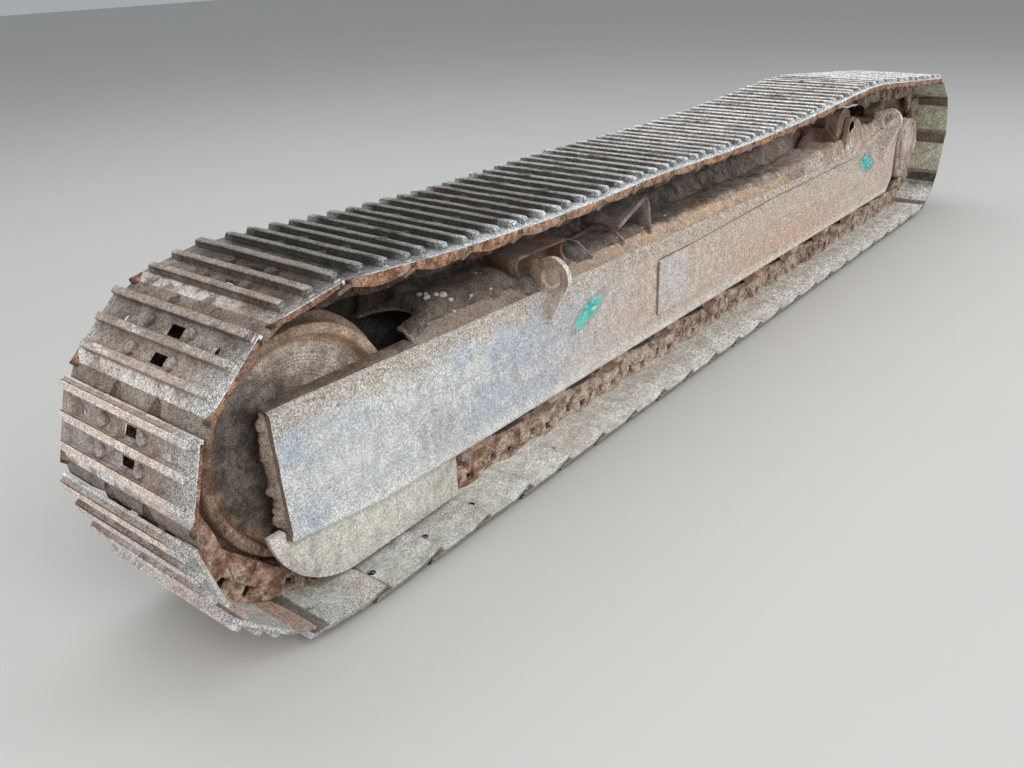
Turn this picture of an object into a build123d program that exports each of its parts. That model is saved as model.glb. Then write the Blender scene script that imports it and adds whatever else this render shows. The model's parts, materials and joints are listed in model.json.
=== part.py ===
from build123d import *
import math
import os

os.makedirs("parts", exist_ok=True)

# One side's crawler track unit, in millimetres.
# +X runs along the track from the idler to the sprocket, -Y is the outer side,
# +Z is up. The origin is on the ground below the middle of the track.
# "u" is the distance along the track from the first shoe joint on the ground.

# ---------------------------------------------------------------- track chain
pitch = 190.0
shoe_width = 500.0
plate_thick = 10.0
grouser_high = 20.0
pin_above_shoe = 54.0          # pin centre to the shoe's inner face
rail_above_pin = 44.0          # pin centre to the rail the wheels roll on
pin_z = plate_thick + grouser_high + pin_above_shoe
rail_z = pin_z + rail_above_pin
strand_in, strand_out = 52.0, 92.0
bushing_r = 28.0

# ---------------------------------------------------------------- end wheels
idler_u = -30.0
idler_drop = 334.0             # idler centre above the pin line
idler_z = pin_z + idler_drop
idler_tread_r = 280.0
idler_flange_r = 300.0
idler_half_wide = 93.0
idler_flange_half = 46.0
axle_r = 40.0
axle_clearance = 0.05

sprocket_u = 4085.0
sprocket_teeth = 20
sprocket_pitches = 10
sprocket_pin_r = pitch / 2 / math.sin(math.pi / sprocket_pitches)
sprocket_z = pin_z + math.sqrt(sprocket_pin_r**2 - pitch**2 / 4)
sprocket_thick = 56.0
sprocket_bore_r = 150.0

# Where the top run is carried: u, height of the pin line
top_supports = [(1150.0, 731.0), (1370.0, 731.0), (2800.0, 747.0), (3150.0, 761.0)]
first_sag, second_sag = 25.0, 25.0

# ---------------------------------------------------------------- track frame
side_out, side_in = 150.0, 138.0          # faces of a side plate, either side of the middle
fork_end_u = -155.0
frame_end_u = 3880.0
skirt_z, skirt_end_z = 195.0, 228.0
fold_z_front, fold_z_rear = 563.0, 492.0  # where web and roof meet
fold_rear_u = 3300.0
roof_rise = 42.0
roof_flat_half = 88.0
roof_thick = 10.0
roof_start_u, roof_end_u = 300.0, 3700.0
roller_rail_z = 245.0
roller_r, roller_flange_r = 76.0, 92.0
roller_z = rail_z + roller_r + 2.0
roller_shaft_r = 30.0
roller_count, roller_first_u, roller_step = 9, 520.0, 360.0


def fold_z(u):
    """Height of the outer fold line at a distance along the track."""
    if u <= fold_rear_u:
        return fold_z_front + (fold_z_rear - fold_z_front) * (u - fork_end_u) / (fold_rear_u - fork_end_u)
    return fold_z_rear + (u - fold_rear_u) * 0.16


def march(path, start, count):
    """Points one pitch apart along a path, the first one at its start."""
    points, here, seg = [start], start, 0
    while len(points) <= count:
        while seg < len(path) - 1 and math.dist(here, path[seg + 1]) < pitch:
            seg += 1
        if seg >= len(path) - 1:
            break
        (ax, az), (bx, bz) = path[seg], path[seg + 1]
        low, high = 0.0, 1.0
        for _ in range(50):
            mid = (low + high) / 2
            if math.dist(here, (ax + (bx - ax) * mid, az + (bz - az) * mid)) < pitch:
                low = mid
            else:
                high = mid
        here = (ax + (bx - ax) * high, az + (bz - az) * high)
        points.append(here)
    return points


def chain_pins():
    """Every pin of the closed chain, from below the idler towards the sprocket."""
    pins = [(pitch * k, pin_z) for k in range(23)]
    for degrees in (-36, 0, 36, 72):
        a = math.radians(degrees)
        pins.append((sprocket_u + sprocket_pin_r * math.cos(a), sprocket_z + sprocket_pin_r * math.sin(a)))
    top_end = pins[-1]
    # around the idler, against the march, from the first joint
    wrap_r = math.hypot(idler_drop, pitch / 2)
    dx, dz = idler_u, idler_drop
    d = math.hypot(dx, dz)
    a = (pitch**2 - wrap_r**2 + d * d) / (2 * d)
    h = math.sqrt(pitch**2 - a * a)
    first = (a * dx / d - h * dz / d, pin_z + a * dz / d + h * dx / d)
    angle = math.atan2(first[1] - idler_z, first[0] - idler_u)
    step = 2 * math.asin(pitch / 2 / wrap_r)
    wrap = [first]
    for _ in range(5):
        angle -= step
        wrap.append((idler_u + wrap_r * math.cos(angle), idler_z + wrap_r * math.sin(angle)))
    # top run from the idler's last pin back to the sprocket's last pin
    low, high = 0.0, 3.0
    for _ in range(40):
        sag = (low + high) / 2
        knots = [wrap[-1]] + top_supports + [top_end]
        sags = [first_sag * sag, 0.0, second_sag * sag, 0.0, 0.0]
        path = []
        for (sx, sz), (ex, ez), drop in zip(knots[:-1], knots[1:], sags):
            path += [(sx + (ex - sx) * i / 40, sz + (ez - sz) * i / 40 - 4 * drop * (i / 40) * (1 - i / 40))
                     for i in range(40)]
        path.append(top_end)
        points = march(path, wrap[-1], 21)
        if len(points) < 22 or math.dist(points[-1], top_end) < pitch:
            low = sag
        else:
            high = sag
    return pins + points[21:0:-1] + wrap[::-1]


def ring(pins, away):
    """The chain's outline, moved away from the pin line, outwards if positive."""
    out = []
    for i, (x, z) in enumerate(pins):
        (px, pz), (nx, nz) = pins[i - 1], pins[(i + 1) % len(pins)]
        ax, az = (x - px) / pitch, (z - pz) / pitch
        bx, bz = (nx - x) / pitch, (nz - z) / pitch
        mx, mz = az + bz, -(ax + bx)
        size = math.hypot(mx, mz)
        mx, mz = mx / size, mz / size
        cosine = mx * az - mz * ax
        out.append((x + away * mx / cosine, z + away * mz / cosine))
    return out


def shoe_outline(pins):
    """Outer outline of all shoes: plate, and three grousers on each."""
    # along the link as a share of the pitch, height above the plate as a share of the grouser
    profile = [(0.07, 0.0), (0.10, 1.0), (0.155, 1.0), (0.20, 0.0), (0.45, 0.0), (0.47, 1.0),
               (0.53, 1.0), (0.55, 0.0), (0.80, 0.0), (0.845, 1.0), (0.90, 1.0), (0.93, 0.0)]
    out = []
    lips = ring(pins, pin_above_shoe + plate_thick)
    for i, (x, z) in enumerate(pins):
        nx, nz = pins[(i + 1) % len(pins)]
        ax, az = (nx - x) / pitch, (nz - z) / pitch
        out.append(lips[i])
        for along, up in profile:
            away = pin_above_shoe + plate_thick + up * grouser_high
            out.append((x + ax * along * pitch + az * away, z + az * along * pitch - ax * away))
    return out


flat_pins = chain_pins()
tips = shoe_outline(flat_pins)
start_x = -(min(t[0] for t in tips) + max(t[0] for t in tips)) / 2   # the first joint, on the X axis
pins = [(u + start_x, z) for u, z in flat_pins]
print("links", len(pins), "first joint at x", round(start_x, 3), "length",
      round(max(t[0] for t in tips) - min(t[0] for t in tips), 2), "height", round(max(t[1] for t in tips), 2))
print("closing gap", round(max(abs(math.dist(pins[i - 1], pins[i]) - pitch) for i in range(len(pins))), 4))


def X(u):
    return u + start_x


def write(part, name):
    part.part.label = name
    export_step(part.part, "parts/" + name + ".step")


# ---------------------------------------------------------------- shoes and chain
with BuildPart() as track_shoes:
    with BuildSketch(Plane.XZ):
        with BuildLine():
            Polyline(*[(x, z) for x, z in shoe_outline(pins)], close=True)
        make_face()
        with BuildLine():
            Polyline(*ring(pins, pin_above_shoe), close=True)
        make_face(mode=Mode.SUBTRACT)
    extrude(amount=shoe_width / 2, both=True)
write(track_shoes, "track_shoes")

with BuildPart() as track_chain:
    for side in (1, -1):
        with BuildSketch(Plane.XZ.offset(side * (strand_in + strand_out) / 2)):
            with BuildLine():
                Polyline(*ring(pins, pin_above_shoe), close=True)
            make_face()
            with BuildLine():
                Polyline(*ring(pins, -rail_above_pin), close=True)
            make_face(mode=Mode.SUBTRACT)
        extrude(amount=(strand_out - strand_in) / 2, both=True)
    with BuildSketch(Plane.XZ):
        with Locations(*pins):
            Circle(bushing_r)
    extrude(amount=strand_in + 2, both=True)
write(track_chain, "track_chain")

# ---------------------------------------------------------------- idler
# radius, distance from the middle plane: one half of the idler's section
idler_half = [(axle_r + 0.0, 88.0), (88.0, 88.0), (94.0, 60.0), (248.0, 60.0), (258.0, 90.0),
              (262.0, idler_half_wide), (276.0, idler_half_wide), (idler_tread_r, 89.0),
              (idler_tread_r, 52.0), (idler_flange_r - 4, idler_flange_half), (idler_flange_r, 40.0)]
with BuildPart() as idler_wheel:
    with BuildSketch(Plane(origin=(X(idler_u), 0, idler_z), x_dir=(1, 0, 0), z_dir=(0, 0, 1)).rotated((0, 0, 0))):
        with BuildLine():
            Polyline(*(idler_half + [(r, -y) for r, y in idler_half[::-1]]), close=True)
        make_face()
    revolve(axis=Axis((X(idler_u), 0, idler_z), (0, 1, 0)))
write(idler_wheel, "idler_wheel")

with BuildPart() as idler_axle:
    with BuildSketch(Plane.XZ):
        with Locations((X(idler_u), idler_z)):
            Circle(axle_r - axle_clearance)
    extrude(amount=132, both=True)
write(idler_axle, "idler_axle")

# sliding blocks that carry the axle between the guide bars
block_in, block_out = 98.0, 136.0
block_half_high, block_back, block_front = 78.0, 130.0, -85.0
with BuildPart() as idler_blocks:
    for side in (1, -1):
        with BuildSketch(Plane.XZ.offset(side * (block_in + block_out) / 2)):
            with Locations((X(idler_u) + (block_back + block_front) / 2, idler_z)):
                RectangleRounded(block_back - block_front, 2 * block_half_high, 14)
            with Locations((X(idler_u), idler_z)):
                Circle(axle_r, mode=Mode.SUBTRACT)
        extrude(amount=(block_out - block_in) / 2, both=True)
write(idler_blocks, "idler_blocks")

# fork that pushes both blocks forward
yoke_arm_half_high, yoke_plate_u = 55.0, 300.0
with BuildPart() as idler_yoke:
    with BuildSketch(Plane.XY.offset(idler_z)):
        with BuildLine():
            Polyline((X(idler_u) + block_back, block_out - 6), (X(yoke_plate_u + 45), block_out - 26),
                     (X(yoke_plate_u + 45), -block_out + 26), (X(idler_u) + block_back, -block_out + 6),
                     (X(idler_u) + block_back, -block_in - 2), (X(yoke_plate_u - 20), -block_in - 2),
                     (X(yoke_plate_u + 5), -block_in + 24), (X(yoke_plate_u + 5), block_in - 24),
                     (X(yoke_plate_u - 20), block_in + 2), (X(idler_u) + block_back, block_in + 2), close=True)
        make_face()
    extrude(amount=yoke_arm_half_high, both=True)
    fillet(idler_yoke.edges().filter_by(Axis.Y).group_by(Axis.X)[-1], 12)
write(idler_yoke, "idler_yoke")

# tensioning rod, spring pack and its rear stop, inside the frame
rod_r, spring_r, spring_u, spring_end_u = 34.0, 84.0, 470.0, 980.0
with BuildPart() as recoil_rod:
    with BuildSketch(Plane.YZ.offset(X(yoke_plate_u + 45))):
        with Locations((0, idler_z)):
            Circle(rod_r)
    extrude(amount=spring_u - yoke_plate_u - 45)
write(recoil_rod, "recoil_rod")

with BuildPart() as recoil_spring:
    with BuildSketch(Plane.YZ.offset(X(spring_u))):
        with Locations((0, idler_z)):
            Circle(spring_r)
    extrude(amount=spring_end_u - spring_u)
    with BuildSketch(Plane.YZ.offset(X(spring_u))):
        with Locations((0, idler_z)):
            Circle(spring_r + 14)
    extrude(amount=22)
    with BuildSketch(Plane.YZ.offset(X(spring_end_u))):
        with Locations((0, idler_z)):
            Rectangle(2 * side_in, 190)
    extrude(amount=25)
write(recoil_spring, "recoil_spring")

# ---------------------------------------------------------------- frame sides
hub_clear_r = 152.0
drive_plate_r = 205.0
web_bottom = [(fork_end_u + 5, skirt_end_z), (120.0, skirt_z + 4), (400.0, skirt_z)]
with BuildPart() as frame_side_outer:
    with BuildSketch(Plane.XZ.offset(side_in)):
        with BuildLine():
            Polyline(*[(X(u), z) for u, z in web_bottom + [
                (frame_end_u - 60, skirt_z), (frame_end_u, skirt_z + 55), (frame_end_u, fold_z(frame_end_u) - 25),
                (frame_end_u - 40, fold_z(frame_end_u)), (fold_rear_u, fold_z_rear),
                (fork_end_u - 8, fold_z_front)]], close=True)
        make_face()
    extrude(amount=side_out - side_in)
write(frame_side_outer, "frame_side_outer")

with BuildPart() as frame_side_inner:
    with BuildSketch(Plane.XZ.offset(-side_out)):
        with BuildLine():
            Polyline(*[(X(u), z) for u, z in web_bottom + [
                (sprocket_u - 60, skirt_z), (sprocket_u - 60, fold_z(frame_end_u)),
                (frame_end_u - 40, fold_z(frame_end_u)), (fold_rear_u, fold_z_rear),
                (fork_end_u - 8, fold_z_front)]], close=True)
        make_face()
        with Locations((X(sprocket_u), sprocket_z)):
            Circle(drive_plate_r)
            Circle(hub_clear_r, mode=Mode.SUBTRACT)
    extrude(amount=side_out - side_in)
write(frame_side_inner, "frame_side_inner")

# fork lips, folded inwards along the top and bottom of each side plate
lip_in = 99.0
with BuildPart() as fork_lips:
    for side in (1, -1):
        with BuildSketch(Plane.XZ.offset(side * (lip_in + side_in) / 2)):
            for low, high in ((skirt_end_z + 2, skirt_end_z + 14), (fold_z_front - 14, fold_z_front - 2)):
                with BuildLine():
                    Polyline((X(fork_end_u), low), (X(roof_start_u - 10), low), (X(roof_start_u - 10), high),
                             (X(fork_end_u), high), close=True)
                make_face()
        extrude(amount=(side_in - lip_in) / 2, both=True)
write(fork_lips, "fork_lips")

# guide bars above and below the sliding blocks
guide_gap, guide_high = 1.5, 44.0
with BuildPart() as guide_bars:
    for side in (1, -1):
        with BuildSketch(Plane.XZ.offset(side * (lip_in + side_in) / 2)):
            for up in (1, -1):
                with Locations((X((fork_end_u + 20 + roof_start_u - 20) / 2),
                                idler_z + up * (block_half_high + guide_gap + guide_high / 2))):
                    Rectangle(roof_start_u - 40 - fork_end_u, guide_high)
        extrude(amount=(side_in - lip_in) / 2, both=True)
write(guide_bars, "guide_bars")

# ---------------------------------------------------------------- frame roof and deck
roof_stations = [(roof_start_u, fold_z(roof_start_u)), (fold_rear_u, fold_z_rear), (roof_end_u, fold_z(roof_end_u))]
with BuildPart() as frame_roof:
    for (u0, z0), (u1, z1) in zip(roof_stations[:-1], roof_stations[1:]):
        for u, z in ((u0, z0), (u1, z1)):
            with BuildSketch(Plane.YZ.offset(X(u))):
                with BuildLine():
                    Polyline((-side_in, z - 10), (-roof_flat_half, z - 10 + roof_rise), (roof_flat_half, z - 10 + roof_rise),
                             (side_in, z - 10), (side_in, z - 10 - roof_thick - 4),
                             (roof_flat_half - 3, z - 10 + roof_rise - roof_thick),
                             (-roof_flat_half + 3, z - 10 + roof_rise - roof_thick), (-side_in, z - 10 - roof_thick - 4), close=True)
                make_face()
        loft(ruled=True)
    # rounded cut-out behind the idler
    with BuildSketch(Plane.XY.offset(fold_z_front - 60)):
        with BuildLine():
            Polyline((X(roof_start_u - 20), -70), (X(roof_start_u + 60), -70), (X(roof_start_u + 110), -30),
                     (X(roof_start_u + 110), 30), (X(roof_start_u + 60), 70), (X(roof_start_u - 20), 70), close=True)
        make_face()
    extrude(amount=140, mode=Mode.SUBTRACT)
write(frame_roof, "frame_roof")

deck_z, rail_in, rail_thick = 305.0, 104.0, 14.0
deck_start_u, deck_end_u = 330.0, 3690.0
with BuildPart() as frame_deck:
    with BuildSketch(Plane.YZ.offset(X(deck_start_u))):
        with BuildLine():
            Polyline((-side_in, roller_rail_z), (-rail_in, roller_rail_z), (-rail_in, deck_z), (rail_in, deck_z),
                     (rail_in, roller_rail_z), (side_in, roller_rail_z), (side_in, roller_rail_z + rail_thick),
                     (rail_in + 10, roller_rail_z + rail_thick), (rail_in + 10, deck_z + 12),
                     (-rail_in - 10, deck_z + 12), (-rail_in - 10, roller_rail_z + rail_thick),
                     (-side_in, roller_rail_z + rail_thick), close=True)
        make_face()
    extrude(amount=deck_end_u - deck_start_u)
write(frame_deck, "frame_deck")

# strip folded out along the bottom of the outer web
with BuildPart() as web_strip:
    with BuildSketch(Plane.XZ.offset(side_out)):
        with BuildLine():
            Polyline((X(fork_end_u + 40), skirt_end_z + 2), (X(120), skirt_z + 10), (X(400), skirt_z + 6),
                     (X(frame_end_u - 75), skirt_z + 6), (X(frame_end_u - 75), skirt_z + 20), (X(400), skirt_z + 20),
                     (X(120), skirt_z + 24), (X(fork_end_u + 40), skirt_end_z + 16), close=True)
        make_face()
    extrude(amount=8)
write(web_strip, "web_strip")

# bulkhead that closes the frame in front of the sprocket
with BuildPart() as rear_bulkhead:
    with BuildSketch(Plane.YZ.offset(X(3660))):
        with BuildLine():
            Polyline((-side_in, deck_z + 12), (side_in, deck_z + 12), (side_in, fold_z(3660) - 28), (roof_flat_half - 6, fold_z(3660) + 18),
                     (-roof_flat_half + 6, fold_z(3660) + 18), (-side_in, fold_z(3660) - 28), close=True)
        make_face()
    extrude(amount=14)
write(rear_bulkhead, "rear_bulkhead")

# ---------------------------------------------------------------- chain guards at the idler
guard_in, guard_out, guard_low_z, guard_top_z, guard_end_u = 122.0, 138.0, 56.0, 230.0, 410.0
rib_us = (40.0, 180.0, 320.0)
for name, side in (("chain_guard_outer", -1), ("chain_guard_inner", 1)):
    with BuildPart() as chain_guard:
        with BuildSketch(Plane.XZ.offset(-side * (guard_in + guard_out) / 2)):
            with BuildLine():
                low = Line((X(guard_end_u), guard_low_z + 10), (X(20), guard_low_z))
                nose = ThreePointArc((X(20), guard_low_z), (X(-120), 112.0), (X(-206), 262.0))
                Polyline((X(-206), 262.0), (X(-158), 262.0), (X(-158), guard_top_z), (X(guard_end_u), guard_top_z), (X(guard_end_u), guard_low_z + 10))
            make_face()
        extrude(amount=(guard_out - guard_in) / 2, both=True)
        for u in rib_us:
            with BuildSketch(Plane.YZ.offset(X(u))):
                with BuildLine():
                    Polyline((side * guard_out, guard_low_z + 14), (side * guard_out, skirt_z - 3), (side * (side_out - 1), skirt_z - 3),
                             (side * (side_out - 1), skirt_z - 30), close=True)
                make_face()
            extrude(amount=8)
    write(chain_guard, name)

# ---------------------------------------------------------------- bottom rollers
roller_us = [roller_first_u + roller_step * k for k in range(roller_count)]
# radius, distance from the middle plane
roller_half = [(roller_shaft_r + 0.05, 103.0), (60.0, 103.0), (roller_flange_r, 102.0), (roller_flange_r, 96.0),
               (roller_r, 93.0), (roller_r - 3, 52.0), (54.0, 44.0)]
with BuildPart() as track_rollers:
    for u in roller_us:
        with BuildSketch(Plane(origin=(X(u), 0, roller_z), x_dir=(1, 0, 0), z_dir=(0, 0, 1))):
            with BuildLine():
                Polyline(*(roller_half + [(r, -y) for r, y in roller_half[::-1]]), close=True)
            make_face()
        revolve(axis=Axis((X(u), 0, roller_z), (0, 1, 0)))
write(track_rollers, "track_rollers")

with BuildPart() as roller_mounts:
    for u in roller_us:
        with BuildSketch(Plane.XZ):
            with Locations((X(u), roller_z)):
                Circle(roller_shaft_r)
        extrude(amount=136, both=True)
    for side in (1, -1):
        with BuildSketch(Plane.XZ.offset(side * 125)):
            for u in roller_us:
                with BuildLine():
                    Polyline((X(u) - 62, roller_rail_z), (X(u) - 62, roller_rail_z - 30), (X(u) - 36, roller_z - 44),
                             (X(u) + 36, roller_z - 44), (X(u) + 62, roller_rail_z - 30), (X(u) + 62, roller_rail_z), close=True)
                make_face()
        extrude(amount=11, both=True)
write(roller_mounts, "roller_mounts")

# ---------------------------------------------------------------- carrier roller and top skids
carrier_u, carrier_r, carrier_flange_r = 3230.0, 84.0, 91.0
carrier_z = 753.0 - rail_above_pin - 6 - carrier_r
carrier_half = [(28.05, 104.0), (52.0, 104.0), (58.0, 96.0), (carrier_r, 93.0), (carrier_r, 50.0), (carrier_flange_r, 44.0), (carrier_flange_r, 36.0), (60.0, 30.0)]
with BuildPart() as carrier_roller:
    with BuildSketch(Plane(origin=(X(carrier_u), 0, carrier_z), x_dir=(1, 0, 0), z_dir=(0, 0, 1))):
        with BuildLine():
            Polyline(*(carrier_half + [(r, -y) for r, y in carrier_half[::-1]]), close=True)
        make_face()
    revolve(axis=Axis((X(carrier_u), 0, carrier_z), (0, 1, 0)))
write(carrier_roller, "carrier_roller")

with BuildPart() as carrier_bracket:
    with BuildSketch(Plane.XZ):
        with Locations((X(carrier_u), carrier_z)):
            Circle(28)
    extrude(amount=132, both=True)
    for side in (1, -1):
        with BuildSketch(Plane.XZ.offset(side * 121)):
            with BuildLine():
                Polyline((X(carrier_u) - 46, carrier_z), (X(carrier_u) - 62, fold_z(carrier_u - 62) + 14),
                         (X(carrier_u) + 62, fold_z(carrier_u + 62) + 14), (X(carrier_u) + 46, carrier_z))
                ThreePointArc((X(carrier_u) + 46, carrier_z), (X(carrier_u), carrier_z + 46), (X(carrier_u) - 46, carrier_z))
            make_face()
        extrude(amount=11, both=True)
write(carrier_bracket, "carrier_bracket")

# skids: cross plates on the roof with chamfered shoulders, joined by a middle web; the front one has a ramp up to the chain
skid_plate = 12.0
ramp_low, ramp_high, ramp_half, ramp_thick = 608.0, 678.0, 92.0, 16.0
# each plate: front u, then its half-outline (y, z) from shoulder to top
front_plates = [(1096.0, [(112, 562), (54, 600)]),
                (1281.0, [(112, 564), (54, ramp_low)]),
                (1446.0, [(112, 580), (104, 642), (ramp_half, ramp_high - ramp_thick)])]
rear_plates = [(3085.0, [(114, 585), (73, 620), (48, 627)])]

with BuildPart() as skid_front:
    for u, outline in front_plates:
        right = [(112.0, fold_z(u) + 12)] + outline
        with BuildSketch(Plane.YZ.offset(X(u))):
            with BuildLine():
                Polyline((-roof_flat_half, fold_z(u) - 10 + roof_rise), (roof_flat_half, fold_z(u) - 10 + roof_rise),
                         *right, *[(-y, z) for y, z in reversed(right)], close=True)
            make_face()
        extrude(amount=skid_plate)
    with BuildSketch(Plane.XZ):
        with BuildLine():
            Polyline((X(1096), fold_z(1096) - 10 + roof_rise), (X(1458), fold_z(1458) - 10 + roof_rise), (X(1458), ramp_high - 10),
                     (X(1281), ramp_low - 10), (X(1096), 592), close=True)
        make_face()
    extrude(amount=6, both=True)
    with BuildSketch(Plane.XZ):
        with BuildLine():
            Polyline((X(1281), ramp_low - ramp_thick), (X(1458), ramp_high - ramp_thick), (X(1458), ramp_high), (X(1281), ramp_low), close=True)
        make_face()
    extrude(amount=ramp_half, both=True)
write(skid_front, "skid_front")

with BuildPart() as skid_rear:
    for u, outline in rear_plates:
        right = [(112.0, fold_z(u) + 12)] + outline
        with BuildSketch(Plane.YZ.offset(X(u))):
            with BuildLine():
                Polyline((-roof_flat_half, fold_z(u) - 10 + roof_rise), (roof_flat_half, fold_z(u) - 10 + roof_rise),
                         *right, *[(-y, z) for y, z in reversed(right)], close=True)
            make_face()
        extrude(amount=skid_plate)
    with BuildSketch(Plane.XZ):
        with BuildLine():
            Polyline((X(2940), fold_z(2940) - 10 + roof_rise), (X(3090), fold_z(3090) - 10 + roof_rise), (X(3090), 615),
                     (X(3020), 615), (X(2940), 560), close=True)
        make_face()
    extrude(amount=8, both=True)
write(skid_rear, "skid_rear")

# ---------------------------------------------------------------- sprocket and final drive
tip_r = sprocket_pin_r + 6
with BuildPart() as sprocket:
    with BuildSketch(Plane.XZ):
        with Locations((X(sprocket_u), sprocket_z)):
            Circle(tip_r)
            Circle(sprocket_bore_r, mode=Mode.SUBTRACT)
            with PolarLocations(sprocket_pin_r, sprocket_teeth, start_angle=0):
                Circle(bushing_r + 6, mode=Mode.SUBTRACT)
            with PolarLocations(tip_r + 8, sprocket_teeth, start_angle=0):
                Rectangle(44, 62, mode=Mode.SUBTRACT)
    extrude(amount=sprocket_thick / 2, both=True)
write(sprocket, "sprocket")

with BuildPart() as final_drive:
    for radius, y0, y1 in ((118.0, 150.0, 156.0), (156.0, 90.0, 150.0), (sprocket_bore_r, 28.0, 90.0), (sprocket_bore_r, -28.0, 28.0),
                           (196.0, 28.0, 52.0), (170.0, -74.0, -28.0)):
        with BuildSketch(Plane.XZ.offset(y0)):
            with Locations((X(sprocket_u), sprocket_z)):
                Circle(radius)
        extrude(amount=y1 - y0)
write(final_drive, "final_drive")

with BuildPart() as drive_motor:
    for radius, y0, y1 in ((120.0, -112.0, -74.0), (176.0, -134.0, -112.0), (hub_clear_r - 4, -150.0, -134.0), (126.0, -212.0, -150.0)):
        with BuildSketch(Plane.XZ.offset(y0)):
            with Locations((X(sprocket_u), sprocket_z)):
                Circle(radius)
        extrude(amount=y1 - y0)
    with BuildSketch(Plane.XZ.offset(-212)):
        with Locations((X(sprocket_u), sprocket_z)):
            RectangleRounded(150, 190, 20)
    extrude(amount=-26)
write(drive_motor, "drive_motor")

# ---------------------------------------------------------------- lugs, covers and saddles
# ears: plates across the track, standing on the roof's outer edge and the web; front face u, eye height, lower tip,
# height of the fold, height of the web's top edge
lug_table = [("tie_lug_front", 806.0, 585.0, 450.0, fold_z(806.0), fold_z(806.0) + 0.5),
             ("tie_lug_rear", 3645.0, 586.0, 400.0, fold_z(3665.0), fold_z(3665.0) + 5.0)]
lug_thick, eye_y, eye_r, ear_r = 20.0, 171.0, 31.0, 61.0
for name, u, z, tip, fold, web_top in lug_table:
    with BuildPart() as lug:
        with BuildSketch(Plane.YZ.offset(X(u))):
            with BuildLine():
                Polyline((-eye_y, z + ear_r), (-107, z + 45), (-95, z + 37), (-95, fold + 26.5), (-126, fold + 0.5), (-side_in, web_top), (-side_out, web_top),
                         (-side_out, tip), (-side_out - 18, tip), (-eye_y - 46, z - math.sqrt(ear_r**2 - 46**2)))
                ThreePointArc((-eye_y - 46, z - math.sqrt(ear_r**2 - 46**2)), (-eye_y - ear_r, z), (-eye_y, z + ear_r))
            make_face()
            with Locations((-eye_y, z)):
                Circle(eye_r, mode=Mode.SUBTRACT)
        extrude(amount=lug_thick)
    write(lug, name)

with BuildPart() as access_cover:
    with BuildSketch(Plane.XZ.offset(side_out)):
        with Locations((X(1541.5), 361)):
            RectangleRounded(197, 198, 12)
    extrude(amount=8)
write(access_cover, "access_cover")

# raised cover over the recoil spring: two flared cross plates, a middle web and a top plate
cover_u0, cover_u1, cover_top = 770.0, 1000.0, 640.0
with BuildPart() as spring_cover:
    for u in (cover_u0, cover_u1 - 12):
        with BuildSketch(Plane.YZ.offset(X(u))):
            with BuildLine():
                Polyline((-roof_flat_half, fold_z(u) - 10 + roof_rise), (roof_flat_half, fold_z(u) - 10 + roof_rise),
                         (106, fold_z(u) + 17), (74, fold_z(u) + 56), (74, cover_top - 22), (88, cover_top - 10),
                         (-88, cover_top - 10), (-74, cover_top - 22), (-74, fold_z(u) + 56), (-106, fold_z(u) + 17), close=True)
            make_face()
        extrude(amount=12)
    with BuildSketch(Plane.XZ):
        with BuildLine():
            Polyline((X(cover_u0), fold_z(cover_u0) - 10 + roof_rise), (X(cover_u1), fold_z(cover_u1) - 10 + roof_rise),
                     (X(cover_u1), cover_top - 10), (X(cover_u0), cover_top - 10), close=True)
        make_face()
    extrude(amount=30, both=True)
    with BuildSketch(Plane.XY.offset(cover_top - 10)):
        with Locations((X((cover_u0 + cover_u1) / 2), 0)):
            Rectangle(cover_u1 - cover_u0, 176)
    extrude(amount=10)
write(spring_cover, "spring_cover")

# machine-side saddles, bolted to the machine through four holes each
saddle_table = [("saddle_front", 1050.0), ("saddle_rear", 3000.0)]
saddle_face_y, saddle_plate = 236.0, 25.0
saddle_z = 370.0
bolt_dx, bolt_dz, bolt_r = 330.0, 230.0, 13.0
for name, u in saddle_table:
    with BuildPart() as saddle:
        with BuildSketch(Plane.XZ.offset(-side_out)):
            with Locations((X(u), saddle_z)):
                RectangleRounded(270, 170, 20)
                RectangleRounded(230, 130, 12, mode=Mode.SUBTRACT)
        extrude(amount=-(saddle_face_y - saddle_plate - side_out))
        with BuildSketch(Plane.XZ.offset(-(saddle_face_y - saddle_plate))):
            with Locations((X(u), saddle_z)):
                RectangleRounded(400, 300, 24)
                RectangleRounded(200, 100, 12, mode=Mode.SUBTRACT)
                with GridLocations(bolt_dx, bolt_dz, 2, 2):
                    Circle(bolt_r, mode=Mode.SUBTRACT)
        extrude(amount=-saddle_plate)
        for dz in (-1, 1):
            for dx in (-1, 1):
                with BuildSketch(Plane.YZ.offset(X(u) + dx * 90 - 6)):
                    with BuildLine():
                        Polyline((side_out, saddle_z + dz * 85), (saddle_face_y - saddle_plate, saddle_z + dz * 85),
                                 (saddle_face_y - saddle_plate, saddle_z + dz * 145), (side_out, saddle_z + dz * 120), close=True)
                    make_face()
                extrude(amount=12)
    write(saddle, name)
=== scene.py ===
import json
import math
import random

import bmesh
import bpy
import numpy as np
from mathutils import Matrix, Vector, noise


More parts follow.
